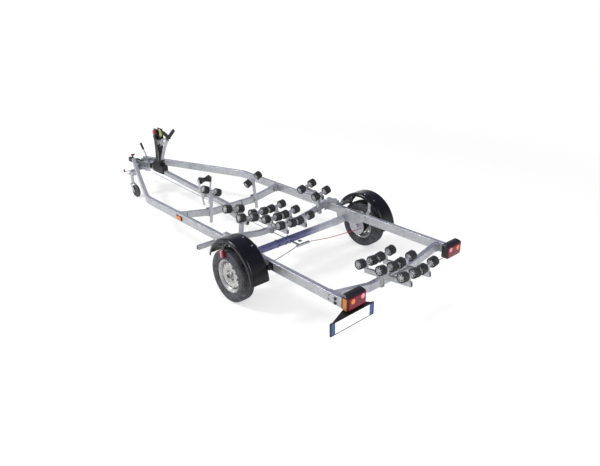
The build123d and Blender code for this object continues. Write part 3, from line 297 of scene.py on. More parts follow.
def swept(section, path, up=(0, 0, 1), sizes=None):
    """Closed section of (across, lift) carried along a path: across is the tangent times up, and lift is
    square to both. sizes scales the section at each point of the path."""
    section, path = np.asarray(section, float), np.asarray(path, float)
    tangent = np.gradient(path, axis=0)
    tangent /= np.linalg.norm(tangent, axis=1, keepdims=True)
    across = np.cross(tangent, np.asarray(up, float))
    across /= np.linalg.norm(across, axis=1, keepdims=True)
    lift = np.cross(across, tangent)
    scale = np.ones(len(path)) if sizes is None else np.asarray(sizes, float)
    grid = path[:, None] + scale[:, None, None] * (
        section[None, :, :1] * across[:, None] + section[None, :, 1:] * lift[:, None]
    )
    return lattice(grid, around=True, capped=True)


def ring(radius, sides=16):
    """Circle section: (r cos a, r sin a)."""
    angle = np.linspace(0, 2 * np.pi, sides, endpoint=False)
    return radius * np.stack([np.cos(angle), np.sin(angle)], -1)


def rounded(width, height, corner, sides=4):
    """Rectangle section with quarter-circle corners: one quarter arc, turned by each right angle."""
    angle = np.linspace(0, np.pi / 2, sides)
    arc = corner * np.stack([np.cos(angle), np.sin(angle)], -1)
    quarters = np.arange(4) * np.pi / 2
    turn = [np.array([[math.cos(q), -math.sin(q)], [math.sin(q), math.cos(q)]]) for q in quarters]
    centre = np.array([[1, 1], [-1, 1], [-1, -1], [1, -1]]) * [width / 2 - corner, height / 2 - corner]
    return np.concatenate([arc @ turn[k].T + centre[k] for k in range(4)])


def flat(across, lift):
    """Plain rectangle section, from its half width and half height."""
    return [(-across, -lift), (across, -lift), (across, lift), (-across, lift)]


def bar(start, end, radius, sides=16):
    """Round bar between two points, its ends eased by a short cone."""
    start, end = np.asarray(start, float), np.asarray(end, float)
    length = np.linalg.norm(end - start)
    ease = min(radius * 0.2, length / 4) / length
    share = np.array([0, ease, 1 - ease, 1])[:, None]
    up = (0, 0, 1) if abs((end - start)[2]) < 0.9 * length else (1, 0, 0)
    return swept(ring(radius, sides), start + share * (end - start), up, [0.82, 1, 1, 0.82])


def slab(low, high, ease=1.5):
    """Box between two corners, with its edges along X eased."""
    low, high = np.asarray(low, float), np.asarray(high, float)
    size, middle = high - low, (low + high) / 2
    path = np.array([[low[0], middle[1], middle[2]], [high[0], middle[1], middle[2]]])
    ease = min(ease, size[1] / 3, size[2] / 3)
    return swept(rounded(size[1], size[2], ease, 3), path)


def hexagon(angle, flats):
    """Radius of a hexagon at an angle: half the flats over the cosine of the angle from the nearest flat."""
    near = (angle + np.pi / 6) % (np.pi / 3) - np.pi / 6
    return flats / 2 / np.cos(near)


def bolt(at, axis, flats=17.0, height=9.0, washer=13.0):
    """Hexagon head on its washer, standing on a face: the corner radius is cut back by a cone at the top."""
    angle = np.linspace(0, 2 * np.pi, 24, endpoint=False)
    hexed, one = hexagon(angle, flats), np.ones_like(angle)
    washer_top, cone = 2.2, 1.5
    rows = [
        (0.01 * one, 0), (washer * one, 0), (washer * one, washer_top), (hexed, washer_top),
        (hexed, height - cone), (np.minimum(hexed, flats / 2), height), (0.01 * one, height),
    ]
    grid = np.stack([np.stack([r * np.cos(angle), h * one, r * np.sin(angle)], -1) for r, h in rows])
    return moved(lattice(grid, around=True), frame_at(at, axis))


def frame_at(at, axis):
    """Matrix that puts the origin at a point and turns +Y along an axis."""
    y = np.asarray(axis, float) / np.linalg.norm(axis)
    x = np.cross(y, (0, 0, 1)) if abs(y[2]) < 0.95 else np.cross(y, (1, 0, 0))
    x /= np.linalg.norm(x)
    place = np.eye(4)
    place[:3, 0], place[:3, 1], place[:3, 2], place[:3, 3] = x, y, np.cross(x, y), at
    return place


def shift_by(step):
    """Matrix of a plain shift."""
    place = np.eye(4)
    place[:3, 3] = step
    return place


def moved(shell, place):
    """Shell turned and shifted by a matrix."""
    points, faces = shell
    return points @ place[:3, :3].T + place[:3, 3], faces


def mirrored(shell):
    """Shell on the other side of the trailer."""
    points, faces = shell
    return points * [1, -1, 1], [f[::-1] for f in faces]


def side_of(shells, side):
    """Shells as drawn for the left, or mirrored for the right."""
    return shells if side > 0 else [mirrored(s) for s in shells]


def piece(name, shells, material, replaces=(), body="chassis", sharp=35.0):
    """Mesh object of several shells, in metres in the shared frame, that rides on a body."""
    points, faces, base = [], [], 0
    for shell_points, shell_faces in shells:
        points.append(shell_points)
        faces += [[base + i for i in f] for f in shell_faces]
        base += len(shell_points)
    mesh = bpy.data.meshes.new(name)
    mesh.from_pydata(((np.concatenate(points) + [AXLE, 0, 0]) / 1000).tolist(), [], faces)
    work = bmesh.new()
    work.from_mesh(mesh)
    bmesh.ops.remove_doubles(work, verts=work.verts, dist=0.00002)
    bmesh.ops.recalc_face_normals(work, faces=work.faces)
    work.to_mesh(mesh)
    work.free()
    mesh.shade_smooth()
    mesh.set_sharp_from_angle(angle=math.radians(sharp))
    made = bpy.data.objects.new(name, mesh)
    bpy.context.scene.collection.objects.link(made)
    made.data.materials.append(MATERIALS[material])
    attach(made, body)
    if replaces:
        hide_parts(*replaces)


def joint_place(name):
    """Pivot point in millimetres from the wheel axis, and the axis, of a joint."""
    joint = joints[name]
    return np.array(joint["pos_m"]) * 1000 - [AXLE, 0, 0], np.array(joint["axis"], float)


# ---------------- sizes and colours that a user would change
class TrailerSizes(PropertyGroup):
    """Sizes of the small forms"""

    rib_count: IntProperty(
        name="Roller ribs", description="Ribs round a roller's tread", default=5, min=0, max=12)
    rib_depth: FloatProperty(
        name="Rib depth", description="Depth of a roller's grooves", default=0.0016, unit="LENGTH")
    spoke_count: IntProperty(
        name="Roller spokes", description="Spokes in a roller's hub", default=6, min=3, max=12)
    tread_depth: FloatProperty(
        name="Tread depth", description="Depth of the tyre grooves", default=0.007, unit="LENGTH")
    tread_blocks: IntProperty(
        name="Tread blocks", description="Blocks round the tyre", default=64, min=20, max=90)
    cable_width: FloatProperty(
        name="Brake cable", description="Width of a brake cable", default=0.008, unit="LENGTH")
    lead_width: FloatProperty(
        name="Lamp lead", description="Width of the lamp lead", default=0.007, unit="LENGTH")


class TrailerStage(PropertyGroup):
    """Floor and light of the stage"""

    floor: FloatVectorProperty(
        name="Floor", description="Colour of the floor and backdrop", subtype="COLOR", size=4,
        default=linear("#f6f6f6"), min=0, max=1,
    )
    key: FloatProperty(name="Key light", description="Power of the main lamp", default=700.0, unit="POWER")
    whiteness: FloatProperty(
        name="Backdrop white", description="Share of plain white in the floor as the camera sees it",
        default=0.54, min=0, max=1,
    )
    fill: FloatProperty(name="Sky", description="Strength of the even light", default=0.75, min=0)


# ---------------- finishes of the frame's own nodes
# node: material, for those that aren't galvanised; the nodes of paired rollers take the roller's rubber
FINISHES = {
    "axle": "axle", "coupling_bellows": "gaiter", "coupling_head": "black_metal", "winch_foot": "black_metal",
    "winch_body": "black_metal", "winch_drum": "strap", "bow_stop": "roller", "jockey_wheel": "tyre",
    "lamps": "black_plastic", "plate_holder": "black_plastic", "keel_roller": "roller",
    "lamp_cable": "black_sheath", "rim_left": "rim", "rim_right": "rim", "tyre_left": "tyre",
    "tyre_right": "tyre", "fender_left": "fender", "fender_right": "fender",
    # the brake drums take black so that the rim's holes read dark: painted shade
    "brake_drum_left": "black_metal", "brake_drum_right": "black_metal",
}


class TRAILER_OT_finishes(Operator):
    """Gives every node of the frame the finish of the real piece, but black painted shade on the brake drums
    """

    bl_idname = "trailer.finishes"
    bl_label = "Finishes"

    def execute(self, context):
        for name, node in nodes.items():
            kind = "roller" if name.startswith("rollers_") else FINISHES.get(name, "galvanised")
            node.data.materials.clear()
            node.data.materials.append(MATERIALS[kind])
        return {"FINISHED"}


# ---------------- wheels
def tyre_shell(sizes):
    """Tyre: a rounded outer profile and a plain inner one, with grooves round the tread and cuts across it.
    The radius drops by the groove depth where the distance along the axis lies in a groove, and by 0.7 of
    it in a cut."""
    half, tread_half, crown_drop = TYRE_WIDTH / 2, 58.0, 3.5
    crown = np.linspace(-tread_half, tread_half, 47)
    tread = np.stack([TYRE_RADIUS - crown_drop * (crown / tread_half) ** 4, crown], -1)
    # radius, distance from the wheel's middle
    wall = np.array([
        (283.5, 62), (277, 68), (266, 73), (252, 76.5), (236, half), (220, 76.8), (204, 74), (190, 69.5),
        (184, 65), (183.4, 60.0), (182.8, 54.0), (178.0, 53.0), (166.5, 47.5),
    ])
    inner = np.array([(165.6, 46), (170, 42), (200, 60), (240, 66), (268, 60), (276, 40)])
    low = wall * [1, -1]
    inner_low = inner * [1, -1]
    profile = np.concatenate([inner_low[::-1], low[::-1], tread, wall, inner])
    depth = sizes.tread_depth * 1000
    grooves, groove_half = (-36, -12, 12, 36), 3.2

    def cut(angle, rows):
        radius, y = rows[:, :1], rows[:, 1:]
        outside = (radius > TYRE_RADIUS - 4.5) & (np.abs(y) < tread_half + 1)
        groove = np.min([np.abs(y - at) for at in grooves], axis=0) < groove_half
        turn = angle / (2 * np.pi) * sizes.tread_blocks + 0.35 * np.sign(y) + y / 60
        slot = (np.abs((turn % 1) - 0.5) > 0.41) & (np.abs(y) > 14)
        return -depth * (outside & groove) - 0.7 * depth * (outside & slot & ~groove)

    return turned(profile, sizes.tread_blocks * 8, swell=cut)


def hub_cap_shell():
    """Centre cap of the disc: a domed profile of (radius, distance) about the wheel's own axis."""
    return turned([(0.01, 30), (31, 30), (31, 46), (28, 54), (20, 58), (0.01, 59)], 40, closed=False)


class TRAILER_OT_wheels(Operator):
    """Makes the treaded tyres, the hub caps and the wheel bolts"""

    bl_idname = "trailer.wheels"
    bl_label = "Wheels"

    def execute(self, context):
        tyre = tyre_shell(context.scene.trailer_sizes)
        middle = shift_by((0, HALF_TRACK, TYRE_RADIUS))
        bolts = []
        for turn in np.radians(45 + 90 * np.arange(4)):
            out = BOLT_CIRCLE * np.array([math.cos(turn), 0, math.sin(turn)])
            bolts.append(bolt(out + [0, HALF_TRACK + DISC_FACE, TYRE_RADIUS], (0, 1, 0), 19, 16, 12))
        for name, side in SIDES.items():
            tread = side_of([moved(tyre, middle)], side)
            piece(f"tyre_tread_{name}", tread, "tyre", (f"tyre_{name}",), f"wheel_{name}", sharp=28)
            cap = moved(hub_cap_shell(), middle)
            piece(f"hub_cap_{name}", side_of([cap], side), "rim", body=f"wheel_{name}")
            piece(f"wheel_bolts_{name}", side_of(bolts, side), "zinc", body=f"wheel_{name}")
        return {"FINISHED"}


def fender_shell():
    """Fender: a section with rounded shoulders and rolled lips carried round an arc over the wheel.
    Each point lies at radius r from the arc's centre, at the angle of its place along the arc."""
    half, shoulder, skirt, wall = FENDER_WIDTH / 2, 26.0, 42.0, 3.0
    foot = FENDER_RADIUS - skirt
    angle = np.linspace(0, np.pi / 2, 8)
    quarter = np.stack([np.sin(angle), np.cos(angle)], -1)
    bend = np.array([half - shoulder, FENDER_RADIUS - shoulder])
    crown = np.stack([np.linspace(0, half - shoulder, 6)[:-1], np.full(5, FENDER_RADIUS)], -1)
    lip = np.array([(half, foot + 3), (half - 1.5, foot), (half - 4.5, foot + 1)])
    outer = np.concatenate([crown, bend + shoulder * quarter, lip])
    inner_arc = bend + (shoulder - wall) * quarter
    inner = np.concatenate([inner_arc[::-1], crown[::-1] * [1, 0] + [0, FENDER_RADIUS - wall]])
    right = np.concatenate([outer, inner])
    left = (np.concatenate([inner[::-1], outer[::-1]]) * [-1, 1])[1:-1]
    section = np.concatenate([right, left])
    turn = np.radians(np.linspace(*FENDER_SPAN, 73))
    grid = np.stack([
        FENDER_X + section[None, :, 1] * np.cos(turn)[:, None],
        FENDER_Y + section[None, :, 0] + 0 * turn[:, None],
        FENDER_Z + section[None, :, 1] * np.sin(turn)[:, None],
    ], -1)
    return lattice(grid, around=True, capped=True)


class TRAILER_OT_fenders(Operator):
    """Makes the gloss fenders with their rolled edges and bolts"""

    bl_idname = "trailer.fenders"
    bl_label = "Fenders"

    def execute(self, context):
        bolts = []
        for turn in np.radians((40, 62, 96, 118)):
            out = np.array([math.cos(turn), 0, math.sin(turn)])
            at = np.array([FENDER_X, FENDER_Y - 58, FENDER_Z]) + out * (FENDER_RADIUS - 0.5)
            bolts.append(bolt(at, out, 13, 6, 11))
        for name, side in SIDES.items():
            skin = side_of([fender_shell()], side)
            piece(f"fender_skin_{name}", skin, "fender", (f"fender_{name}",))
            piece(f"fender_bolts_{name}", side_of(bolts, side), "zinc")
        return {"FINISHED"}


# ---------------- rollers
def roller_shells(sizes):
    """Roller about Y: its rubber tread, a black ring behind the spokes that stands in for the shade between
    them (painted shade), and its spoked hub.
    The tread's radius is less in the grooves between ribs; the hub's face is set back between spokes."""
    half, r, end = ROLLER_WIDTH / 2, ROLLER_RADIUS, 7.0
    y = np.linspace(-half + end, half - end, 49)
    wave = np.cos((y / (half - end) + 1) * np.pi * sizes.rib_count)
    tread = np.stack([r - sizes.rib_depth * 1000 * (wave < -0.3), y], -1)
    # radius, distance from the roller's middle
    edge = np.array([
        (r - 0.5, half - 4.5), (r - 2.2, half - 2), (r - 5, half - 0.5), (r - 8, half), (r - 13, half),
        (r - 14, half - 1.5),
    ])
    outer = np.concatenate([[[ROLLER_HUB, -10]], (edge * [1, -1])[::-1], tread, edge, [[ROLLER_HUB, 10]]])
    angle = np.linspace(0, 2 * np.pi, 72, endpoint=False)
    radius = np.array([9, 9, 15, 16.5, 18, 31, 32.5, ROLLER_HUB - 0.1, ROLLER_HUB - 0.1])
    spoke = np.abs(((angle / (2 * np.pi) * sizes.spoke_count) % 1) - 0.5) < 0.15
    hollow = (radius > 16) & (radius < 32)
    boss, back = radius < 16, 20.0
    face = half - 4 - 22 * (hollow[:, None] & ~spoke[None, :]) + 4 * boss[:, None]
    face[[0, -1]] = back
    hubs, shade_rings = [], []
    for way in (1, -1):
        grid = np.stack([radius[:, None] * np.cos(angle), way * face, radius[:, None] * np.sin(angle)], -1)
        hubs.append(lattice(grid, around=True, along=True))
        # black ring behind the spokes, in the roller's rubber: painted shade between the spokes
        shade_ring_profile = [(15, back), (35.5, back), (35.5, back + 2), (15, back + 2)]
        shade_rings.append(turned(np.array(shade_ring_profile) * [1, way], 36))
    return [turned(outer, 48), *shade_rings], hubs


class TRAILER_OT_rollers(Operator):
    """Makes the ribbed treads with black rings of painted shade behind the spokes, and the spoked hubs of the
    paired rollers
    """

    bl_idname = "trailer.rollers"
    bl_label = "Rollers"

    def execute(self, context):
        rubber, hub = roller_shells(context.scene.trailer_sizes)
        for name in [n for n in nodes if n.startswith("rollers_")]:
            at, axis = joint_place(f"{name}_spin")
            apart = HALF_PAIR[name.split("_")[1]]
            places = [frame_at(at + axis * apart * way, axis) for way in (1, -1)]
            treads = [moved(r, p) for p in places for r in rubber]
            hubs = [moved(h, p) for p in places for h in hub]
            # the treads carry the black rings of painted shade behind the spokes
            piece(name.replace("rollers", "treads"), treads, "roller", (name,), name)
            piece(name.replace("rollers", "hubs"), hubs, "hub", body=name)
        return {"FINISHED"}


# ---------------- lamps, plate and markers
LAMP_BACK, LAMP_Y, LAMP_WIDTH = -1478.0, 731.0, 238.0
LAMP_LOW, LAMP_TOP = 440.0, 566.0
CLEARANCE_Y, CLEARANCE_Z = (1084.0, 1112.0), (512.0, 586.0)     # the lamps on the fenders' outer sides
MARKER_X, MARKER_Z = (1313.0, 1417.0), (443.0, 489.0)
PLATE_BACK, PLATE_Y, PLATE_Z = -1506.0, 805.0, 372.0
PLATE_WIDTH, PLATE_HEIGHT, BAND_WIDTH = 520.0, 110.0, 46.0


def lens_shell(y, z, bulge, corner=8.0):
    """Lens on a rearward face: rounded rectangle rings that shrink by a quarter ellipse as they stand out."""
    width, height, shrink = y[1] - y[0], z[1] - z[0], 9.0
    turn = np.linspace(0, np.pi / 2, 7)
    rings = []
    for depth, inset in zip(bulge * np.sin(turn), shrink * (1 - np.cos(turn))):
        section = rounded(width - 2 * inset, height - 2 * inset, max(corner - inset * 0.6, 1.5), 5)
        back = np.full(len(section), LAMP_BACK - depth)
        rings.append(np.stack([back, sum(y) / 2 + section[:, 0], sum(z) / 2 + section[:, 1]], -1))
    return lattice(np.stack(rings), around=True, capped=True)


def disc_shell(at, axis, radius, height):
    """Round lens or cap: a low dome standing on a face, whose radius falls by a quarter as it rises."""
    turn = np.linspace(0, np.pi / 2, 7)
    reach = np.append(radius - 0.25 * radius * (1 - np.cos(turn)), 0.01)
    rise = np.append(height * np.sin(turn), height)
    profile = np.concatenate([[[0.01, 0]], [[radius, 0]], np.stack([reach, rise], -1)])
    return moved(turned(profile, 32, closed=False), frame_at(at, axis))


class TRAILER_OT_lamps(Operator):
    """Makes the lenses, reflectors, clearance lamps, side markers and the blank number plate"""

    bl_idname = "trailer.lamps"
    bl_label = "Lamps and plate"

    def execute(self, context):
        inner, outer = LAMP_Y - LAMP_WIDTH / 2, LAMP_Y + LAMP_WIDTH / 2
        for name, side in SIDES.items():
            red = lens_shell((inner + 6, outer - 16), (LAMP_LOW + 6, LAMP_TOP - 3), 9)
            piece(f"lens_red_{name}", side_of([red], side), "red_lens")
            window = lens_shell((outer - 92, outer - 42), (LAMP_TOP - 66, LAMP_TOP - 16), 4, 18)
            amber = [
                slab((LAMP_BACK + 6, outer - 4, LAMP_LOW + 8), (LAMP_BACK + 50, outer + 3, LAMP_TOP - 6), 3),
                moved(window, shift_by((-7, 0, 0))),
            ]
            piece(f"lens_amber_{name}", side_of(amber, side), "amber_lens")
            round_one = disc_shell((LAMP_BACK - 8.4, inner + 48, LAMP_TOP - 32), (-1, 0, 0), 25, 3)
            piece(f"reflector_{name}", side_of([round_one], side), "reflector")
            (near, far), (low, high) = CLEARANCE_Y, CLEARANCE_Z
            for part, material, x in (("red", "red_lens", (-14, 16)), ("front", "reflector", (16.5, 38))):
                lens = slab((x[0], near, low), (x[1], far, high), 5)
                piece(f"clearance_lamp_{part}_{name}", side_of([lens], side), material)
            arm = slab((2, near - 4.5, 570), (26, near + 0.5, 664), 2)
            arm = [arm, bar((14, near, 640), (14, near + 6, 640), 7)]
            piece(f"clearance_lamp_arm_{name}", side_of(arm, side), "black_plastic")
            (rear, front), (low, high) = MARKER_X, MARKER_Z
            marker = slab((rear, RAIL_OUTER + 8, low), (front, RAIL_OUTER + 17, high), 3)
            piece(f"side_marker_{name}", side_of([marker], side), "amber_lens")
        low, high = PLATE_Z - PLATE_HEIGHT / 2, PLATE_Z + PLATE_HEIGHT / 2
        left, right = PLATE_Y + PLATE_WIDTH / 2, PLATE_Y - PLATE_WIDTH / 2
        plate = slab((PLATE_BACK - 1, right, low), (PLATE_BACK + 0.5, left, high), 1)
        piece("number_plate_face", [plate], "plate_white")
        bands = [
            slab((PLATE_BACK - 1.4, y[0], low + 0.5), (PLATE_BACK, y[1], high - 0.5), 0.5)
            for y in ((left - BAND_WIDTH, left - 0.5), (right + 0.5, right + BAND_WIDTH))
        ]
        piece("number_plate_bands", bands, "plate_blue")
        # y, z of the four edges of the plate's frame
        sides = [
            ((right - 8, left + 8), (low - 7, low)), ((right - 8, left + 8), (high, high + 7)),
            ((right - 10, right), (low - 6, high + 6)), ((left, left + 10), (low - 6, high + 6)),
        ]
        edge = [slab((PLATE_BACK - 3, y[0], z[0]), (PLATE_BACK + 2, y[1], z[1]), 1) for y, z in sides]
        piece("plate_frame", edge, "black_plastic")
        return {"FINISHED"}


# ---------------- cables
# points of the smooth lines: x, y, z
BRAKE_ROUTE = [
    (28, 90, 306), (10, 180, 300), (-6, 300, 286), (-20, 420, 276), (-26, 540, 270), (-34, 660, 264),
    (-50, 770, 260), (-62, 869, 262),
]
LEAD_ROUTE = [
    (-1408.2, -738, 462), (-1384, -738, 452), (-1364, -734, 378), (-1336, -706, 356), (-1308, -672, 352),
    (-1282, -640, 362), (-1264, -612, 384),
]


def line_object(name, route, width, material):
    """Round cable on one smooth line: a spline whose control points are the route. The points' radius
    carries the cable's, on a bevel of 1, so that the curve's box is true."""
    curve = bpy.data.curves.new(name, "CURVE")
    curve.dimensions = "3D"
    curve.bevel_depth = 1
    curve.bevel_resolution = 4
    curve.resolution_u = 10
    curve.use_fill_caps = True
    spline = curve.splines.new("NURBS")
    spline.points.add(len(route) - 1)
    places = (np.array(route, float) + [AXLE, 0, 0]) / 1000
    spline.points.foreach_set("co", np.concatenate([places, np.ones((len(route), 1))], 1).ravel())
    spline.points.foreach_set("radius", np.full(len(route), width / 2))
    spline.order_u = 3
    spline.use_endpoint_u = True
    curve.materials.append(MATERIALS[material])
    made = bpy.data.objects.new(name, curve)
    bpy.context.scene.collection.objects.link(made)
    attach(made, "chassis")
    return made, places


def lead_length(lead):
    """Length of a cable's smooth line, in metres, read from its spline."""
    bevel = lead.data.bevel_depth
    lead.data.bevel_depth = 0
    line = bpy.data.meshes.new_from_object(lead)
    lead.data.bevel_depth = bevel
    points = np.array([v.co for v in line.vertices])
    bpy.data.meshes.remove(line)
    return float(np.linalg.norm(np.diff(points, axis=0), axis=1).sum())


class TRAILER_OT_cables(Operator):
    """Makes the brake rod, the pull bar, the two brake cables and the lamp lead"""

    bl_idname = "trailer.cables"
    bl_label = "Cables"

    def execute(self, context):
        sizes = context.scene.trailer_sizes
        other_route = [(x, -y, z) for x, y, z in BRAKE_ROUTE]
        line_object("brake_cable_left", BRAKE_ROUTE, sizes.cable_width, "black_sheath")
        line_object("brake_cable_right", other_route, sizes.cable_width, "red_sheath")
        rod = [
            bar((3500, 47, 390), (190, 47, 304), 6, 12), slab((10, -98, 296), (40, 98, 316)),
            slab((40, 35, 297), (190, 59, 311)), slab((70, -30, 316), (110, 10, 325)),
        ]
        piece("brake_rod_and_bar", rod, "galvanised", ("brake_linkage",))
        lead, places = line_object("lamp_lead", LEAD_ROUTE, sizes.lead_width, "black_sheath")
        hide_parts("lamp_cable")
        lead_length(lead)
        return {"FINISHED"}


# ---------------- winch, grips and covers
WINCH_X, WINCH_Z = 3250.0, 1045.0                   # axis of the drum
POST_FOOT, POST_LEAN = (3320.0, 0.0, 500.0), 6.0    # degrees back from upright
PAD_AT, PAD_HALF, PAD_TILT = (2943.0, 49.0, 1089.0), 70.0, 43.0     # middle, half length, degrees of lean
LEVER_PIVOT, LEVER_TIP = (3716.0, 0.0, 545.0), (3905.0, 0.0, 780.0)
KNOB_AT = (3773, 392)                               # x and y of the jockey wheel's tube


def winch_case_shells():
    """Winch's gear boss, the two rings beside its drum and its shaft, all round Y."""
    ring_profile = [(52, 0), (67, 0), (67, 3), (52, 3)]
    places = [frame_at((WINCH_X, y, WINCH_Z), (0, 1, 0)) for y in (25, -28)]
    return [
        bar((WINCH_X, 46, WINCH_Z - 35), (WINCH_X, 80, WINCH_Z - 35), 34, 32),
        *[moved(turned(ring_profile, 56), place) for place in places],
        bar((WINCH_X, -30, WINCH_Z), (WINCH_X, 48, WINCH_Z), 17, 24),
    ]


def winch_post_shade_sheets():
    """Black sheets on the winch post that stand in for the shade inside its open channel (painted shade): a
    waisted sheet on each side, a strip and a plate on its rear face.
    Each is a flat section carried up the post's lean; a side sheet's depth is scaled along it."""
    foot, lean = np.array(POST_FOOT), math.radians(POST_LEAN)
    rise = np.array([-math.sin(lean), 0, math.cos(lean)])
    back = np.array([-math.cos(lean), 0, -math.sin(lean)])
    # height up the post, depth of the side sheet as a share of 84 mm
    waist = [(104, 1.35), (150, 1.0), (230, 0.78), (330, 0.86), (430, 1.1), (500, 1.3)]
    side_shade_path = [foot + rise * h + [0, 48.2, 0] for h, _ in waist]
    side_shade_sheet = swept(flat(2, 42), side_shade_path, back, [share for _, share in waist])
    strip = swept(flat(47, 1.5), [foot + rise * h + back * 8 for h in (104, 470)], back)
    plate = swept(flat(46, 1.5), [foot + rise * h + back * 44 for h in (290, 392)], back)
    return [side_shade_sheet, mirrored(side_shade_sheet), strip, plate]


def bow_stop_shells():
    """V for the boat's stem: two pads and the block between them. A pad's section thins from its middle to
    its ends, by the root of 1 - 0.96 s^4 at a share s of its half length."""
    (x, y, z), tilt = PAD_AT, math.radians(PAD_TILT)
    share = np.linspace(-1, 1, 17)
    thin = 0.42 + 0.58 * np.sqrt(1 - 0.96 * share ** 4)
    along = PAD_HALF * share
    shells = []
    for way in (1, -1):
        line = np.stack([x - 6 * share, way * (y + math.sin(tilt) * along), z + math.cos(tilt) * along], -1)
        shells.append(swept(rounded(50, 36, 14, 5), line, (1, 0, 0), thin))
    return [*shells, slab((2937, -27, 1012), (2995, 27, 1062), 8)]


class TRAILER_OT_controls(Operator):
    """Makes the winch's case, the black sheets of painted shade in the winch post, the bow stop, the coloured
    grips and covers and the rail's band
    """

    bl_idname = "trailer.controls"
    bl_label = "Winch, grips and covers"

    def execute(self, context):
        piece("winch_gear_case", winch_case_shells(), "black_metal")
        arm = swept(flat(26, 3), [(3235, 0, 640), (3120, 0, 840), (2985, 0, 1010)], (1, 0, 0))
        piece("bow_stop_arm", [arm], "galvanised")
        # black sheets in the post's open channel: painted shade
        piece("winch_post_painted_shade", winch_post_shade_sheets(), "black_metal")
        piece("bow_stop_pads", bow_stop_shells(), "roller", ("bow_stop",))
        cover = turned([(0.01, 26), (20, 26), (34, 22), (40, 12), (40, -10), (0.01, -10)], 48, closed=False)
        cover = moved(cover, frame_at((WINCH_X, 56, WINCH_Z + 29), (0, 1, 0)))
        piece("winch_cover", [cover], "red_plastic")
        grip = [bar((4262, -34, 520), (4262, 34, 520), 13), bar((4288, 0, 470), (4262, 0, 520), 10)]
        piece("coupling_grip", grip, "red_plastic")
        pivot, tip = np.array(LEVER_PIVOT), np.array(LEVER_TIP)
        lever_grip = bar(pivot + 0.62 * (tip - pivot), tip, 17)
        piece("handbrake_grip", [lever_grip], "black_plastic", body="handbrake")
        knob = bar((*KNOB_AT, 411), (*KNOB_AT, 455), 14)
        piece("jockey_knob", [knob], "red_plastic")
        # the band lies on the right rail's inner face, ahead of the bend
        x, bend = np.array([3130.0, 3390.0]), math.radians(RAIL_BEND_DEG)
        inner = -(RAIL_OUTER - (x - RAIL_BEND_X) * math.tan(bend) - RAIL_WIDTH / math.cos(bend))
        path = np.stack([x, inner + 0.8, np.full(2, RAIL_MIDDLE)], -1)
        piece("rail_band", [swept(flat(0.6, 42), path)], "band")
        return {"FINISHED"}


# ---------------- fasteners
AXLE_TUBE_AT, AXLE_TIES = (135, 367), (300, 182, 123)   # x and z of the six-sided tube, y of its ties
# ties round the front crossbeam: y, then x and z of its middle, and its width and height
BEAM_TIES = [(694, 1405, 461, 50, 80), (-131, 1405, 397, 50, 80), (-684, 1405, 459, 50, 80)]


def tie_shells(at, width, height, thick=1.6, wide=8.0):
    """Cable tie round a tube along Y: four flat straps and the small head behind it."""
    x, y, z = at
    left, right, low, high = x - width / 2, x + width / 2, z - height / 2, z + height / 2
    side = (y - wide / 2, y + wide / 2)
    return [
        slab((left - thick, side[0], low - thick), (left, side[1], high + thick), 0.4),
        slab((right, side[0], low - thick), (right + thick, side[1], high + thick), 0.4),
        slab((left, side[0], low - thick), (right, side[1], low), 0.4),
        slab((left, side[0], high), (right, side[1], high + thick), 0.4),
        slab((left - 8, y - 6, z - 7), (left, y + 6, z + 7), 1.5),
    ]


class TRAILER_OT_fasteners(Operator):
    """Makes the rails' bolts and caps, the sleeves of the fenders' straps and the cable ties"""

    bl_idname = "trailer.fasteners"
    bl_label = "Fasteners"

    def execute(self, context):
        heads = [
            bolt((x + dx, RAIL_OUTER, z), (0, 1, 0), 17, 8, 13)
            for x in BEAM_X.values() for dx in (-36, 36) for z in (446, 486)
        ]
        heads += [bolt((x, RAIL_OUTER, RAIL_MIDDLE), (0, 1, 0), 17, 9, 13) for x in (-190, -60, 80, 190)]
        caps = [bar((-1300, RAIL_OUTER, z), (-1300, RAIL_OUTER + 11, z), 13) for z in (440, 484)]
        straps = [
            slab((-424, RAIL_OUTER + 5.2, 443), (-388, 858, 489), 3),
            slab((-437, RAIL_OUTER, 434), (-375, RAIL_OUTER + 6, 508), 3),
        ]
        x, z = AXLE_TUBE_AT
        collar = turned([(0.01, -4), (50.3, -4), (50.3, 4), (0.01, 4)], 6, closed=False)
        ties = [moved(collar, frame_at((x, y, z), (0, 1, 0))) for y in AXLE_TIES]
        for y, x, z, width, height in BEAM_TIES:
            ties += tie_shells((x, y, z), width, height)
        both = [s + [mirrored(one) for one in s] for s in (straps, caps, heads)]
        piece("fender_straps", both[0], "black_plastic")
        piece("rail_end_caps", both[1], "black_plastic")
        piece("cable_ties", ties, "black_plastic")
        piece("rail_bolts", both[2], "zinc")
        return {"FINISHED"}


# ---------------- stage
FLOOR_REACH = 150.0                                             # metres
CAMERA_AT = (AXLE / 1000 - 4.1885, 3.7578, 2.94465)             # metres
CAMERA_TURN, CAMERA_DIP, CAMERA_ROLL = -41.39, 23.89, -0.98     # degrees
LENS, SENSOR = 32.539, 36.0                                     # millimetres


def seen_share(tree):
    """1 for rays that come from the camera or by way of metal or glass, 0 for those that light a surface."""
    ray = add(tree, "LightPath").outputs
    first = {0: ray["Is Camera Ray"], 1: ray["Is Glossy Ray"]}
    share = add(tree, "Math", first, operation="MAXIMUM").outputs[0]
    return add(tree, "Math", {0: share, 1: ray["Is Transmission Ray"]}, operation="MAXIMUM").outputs[0]


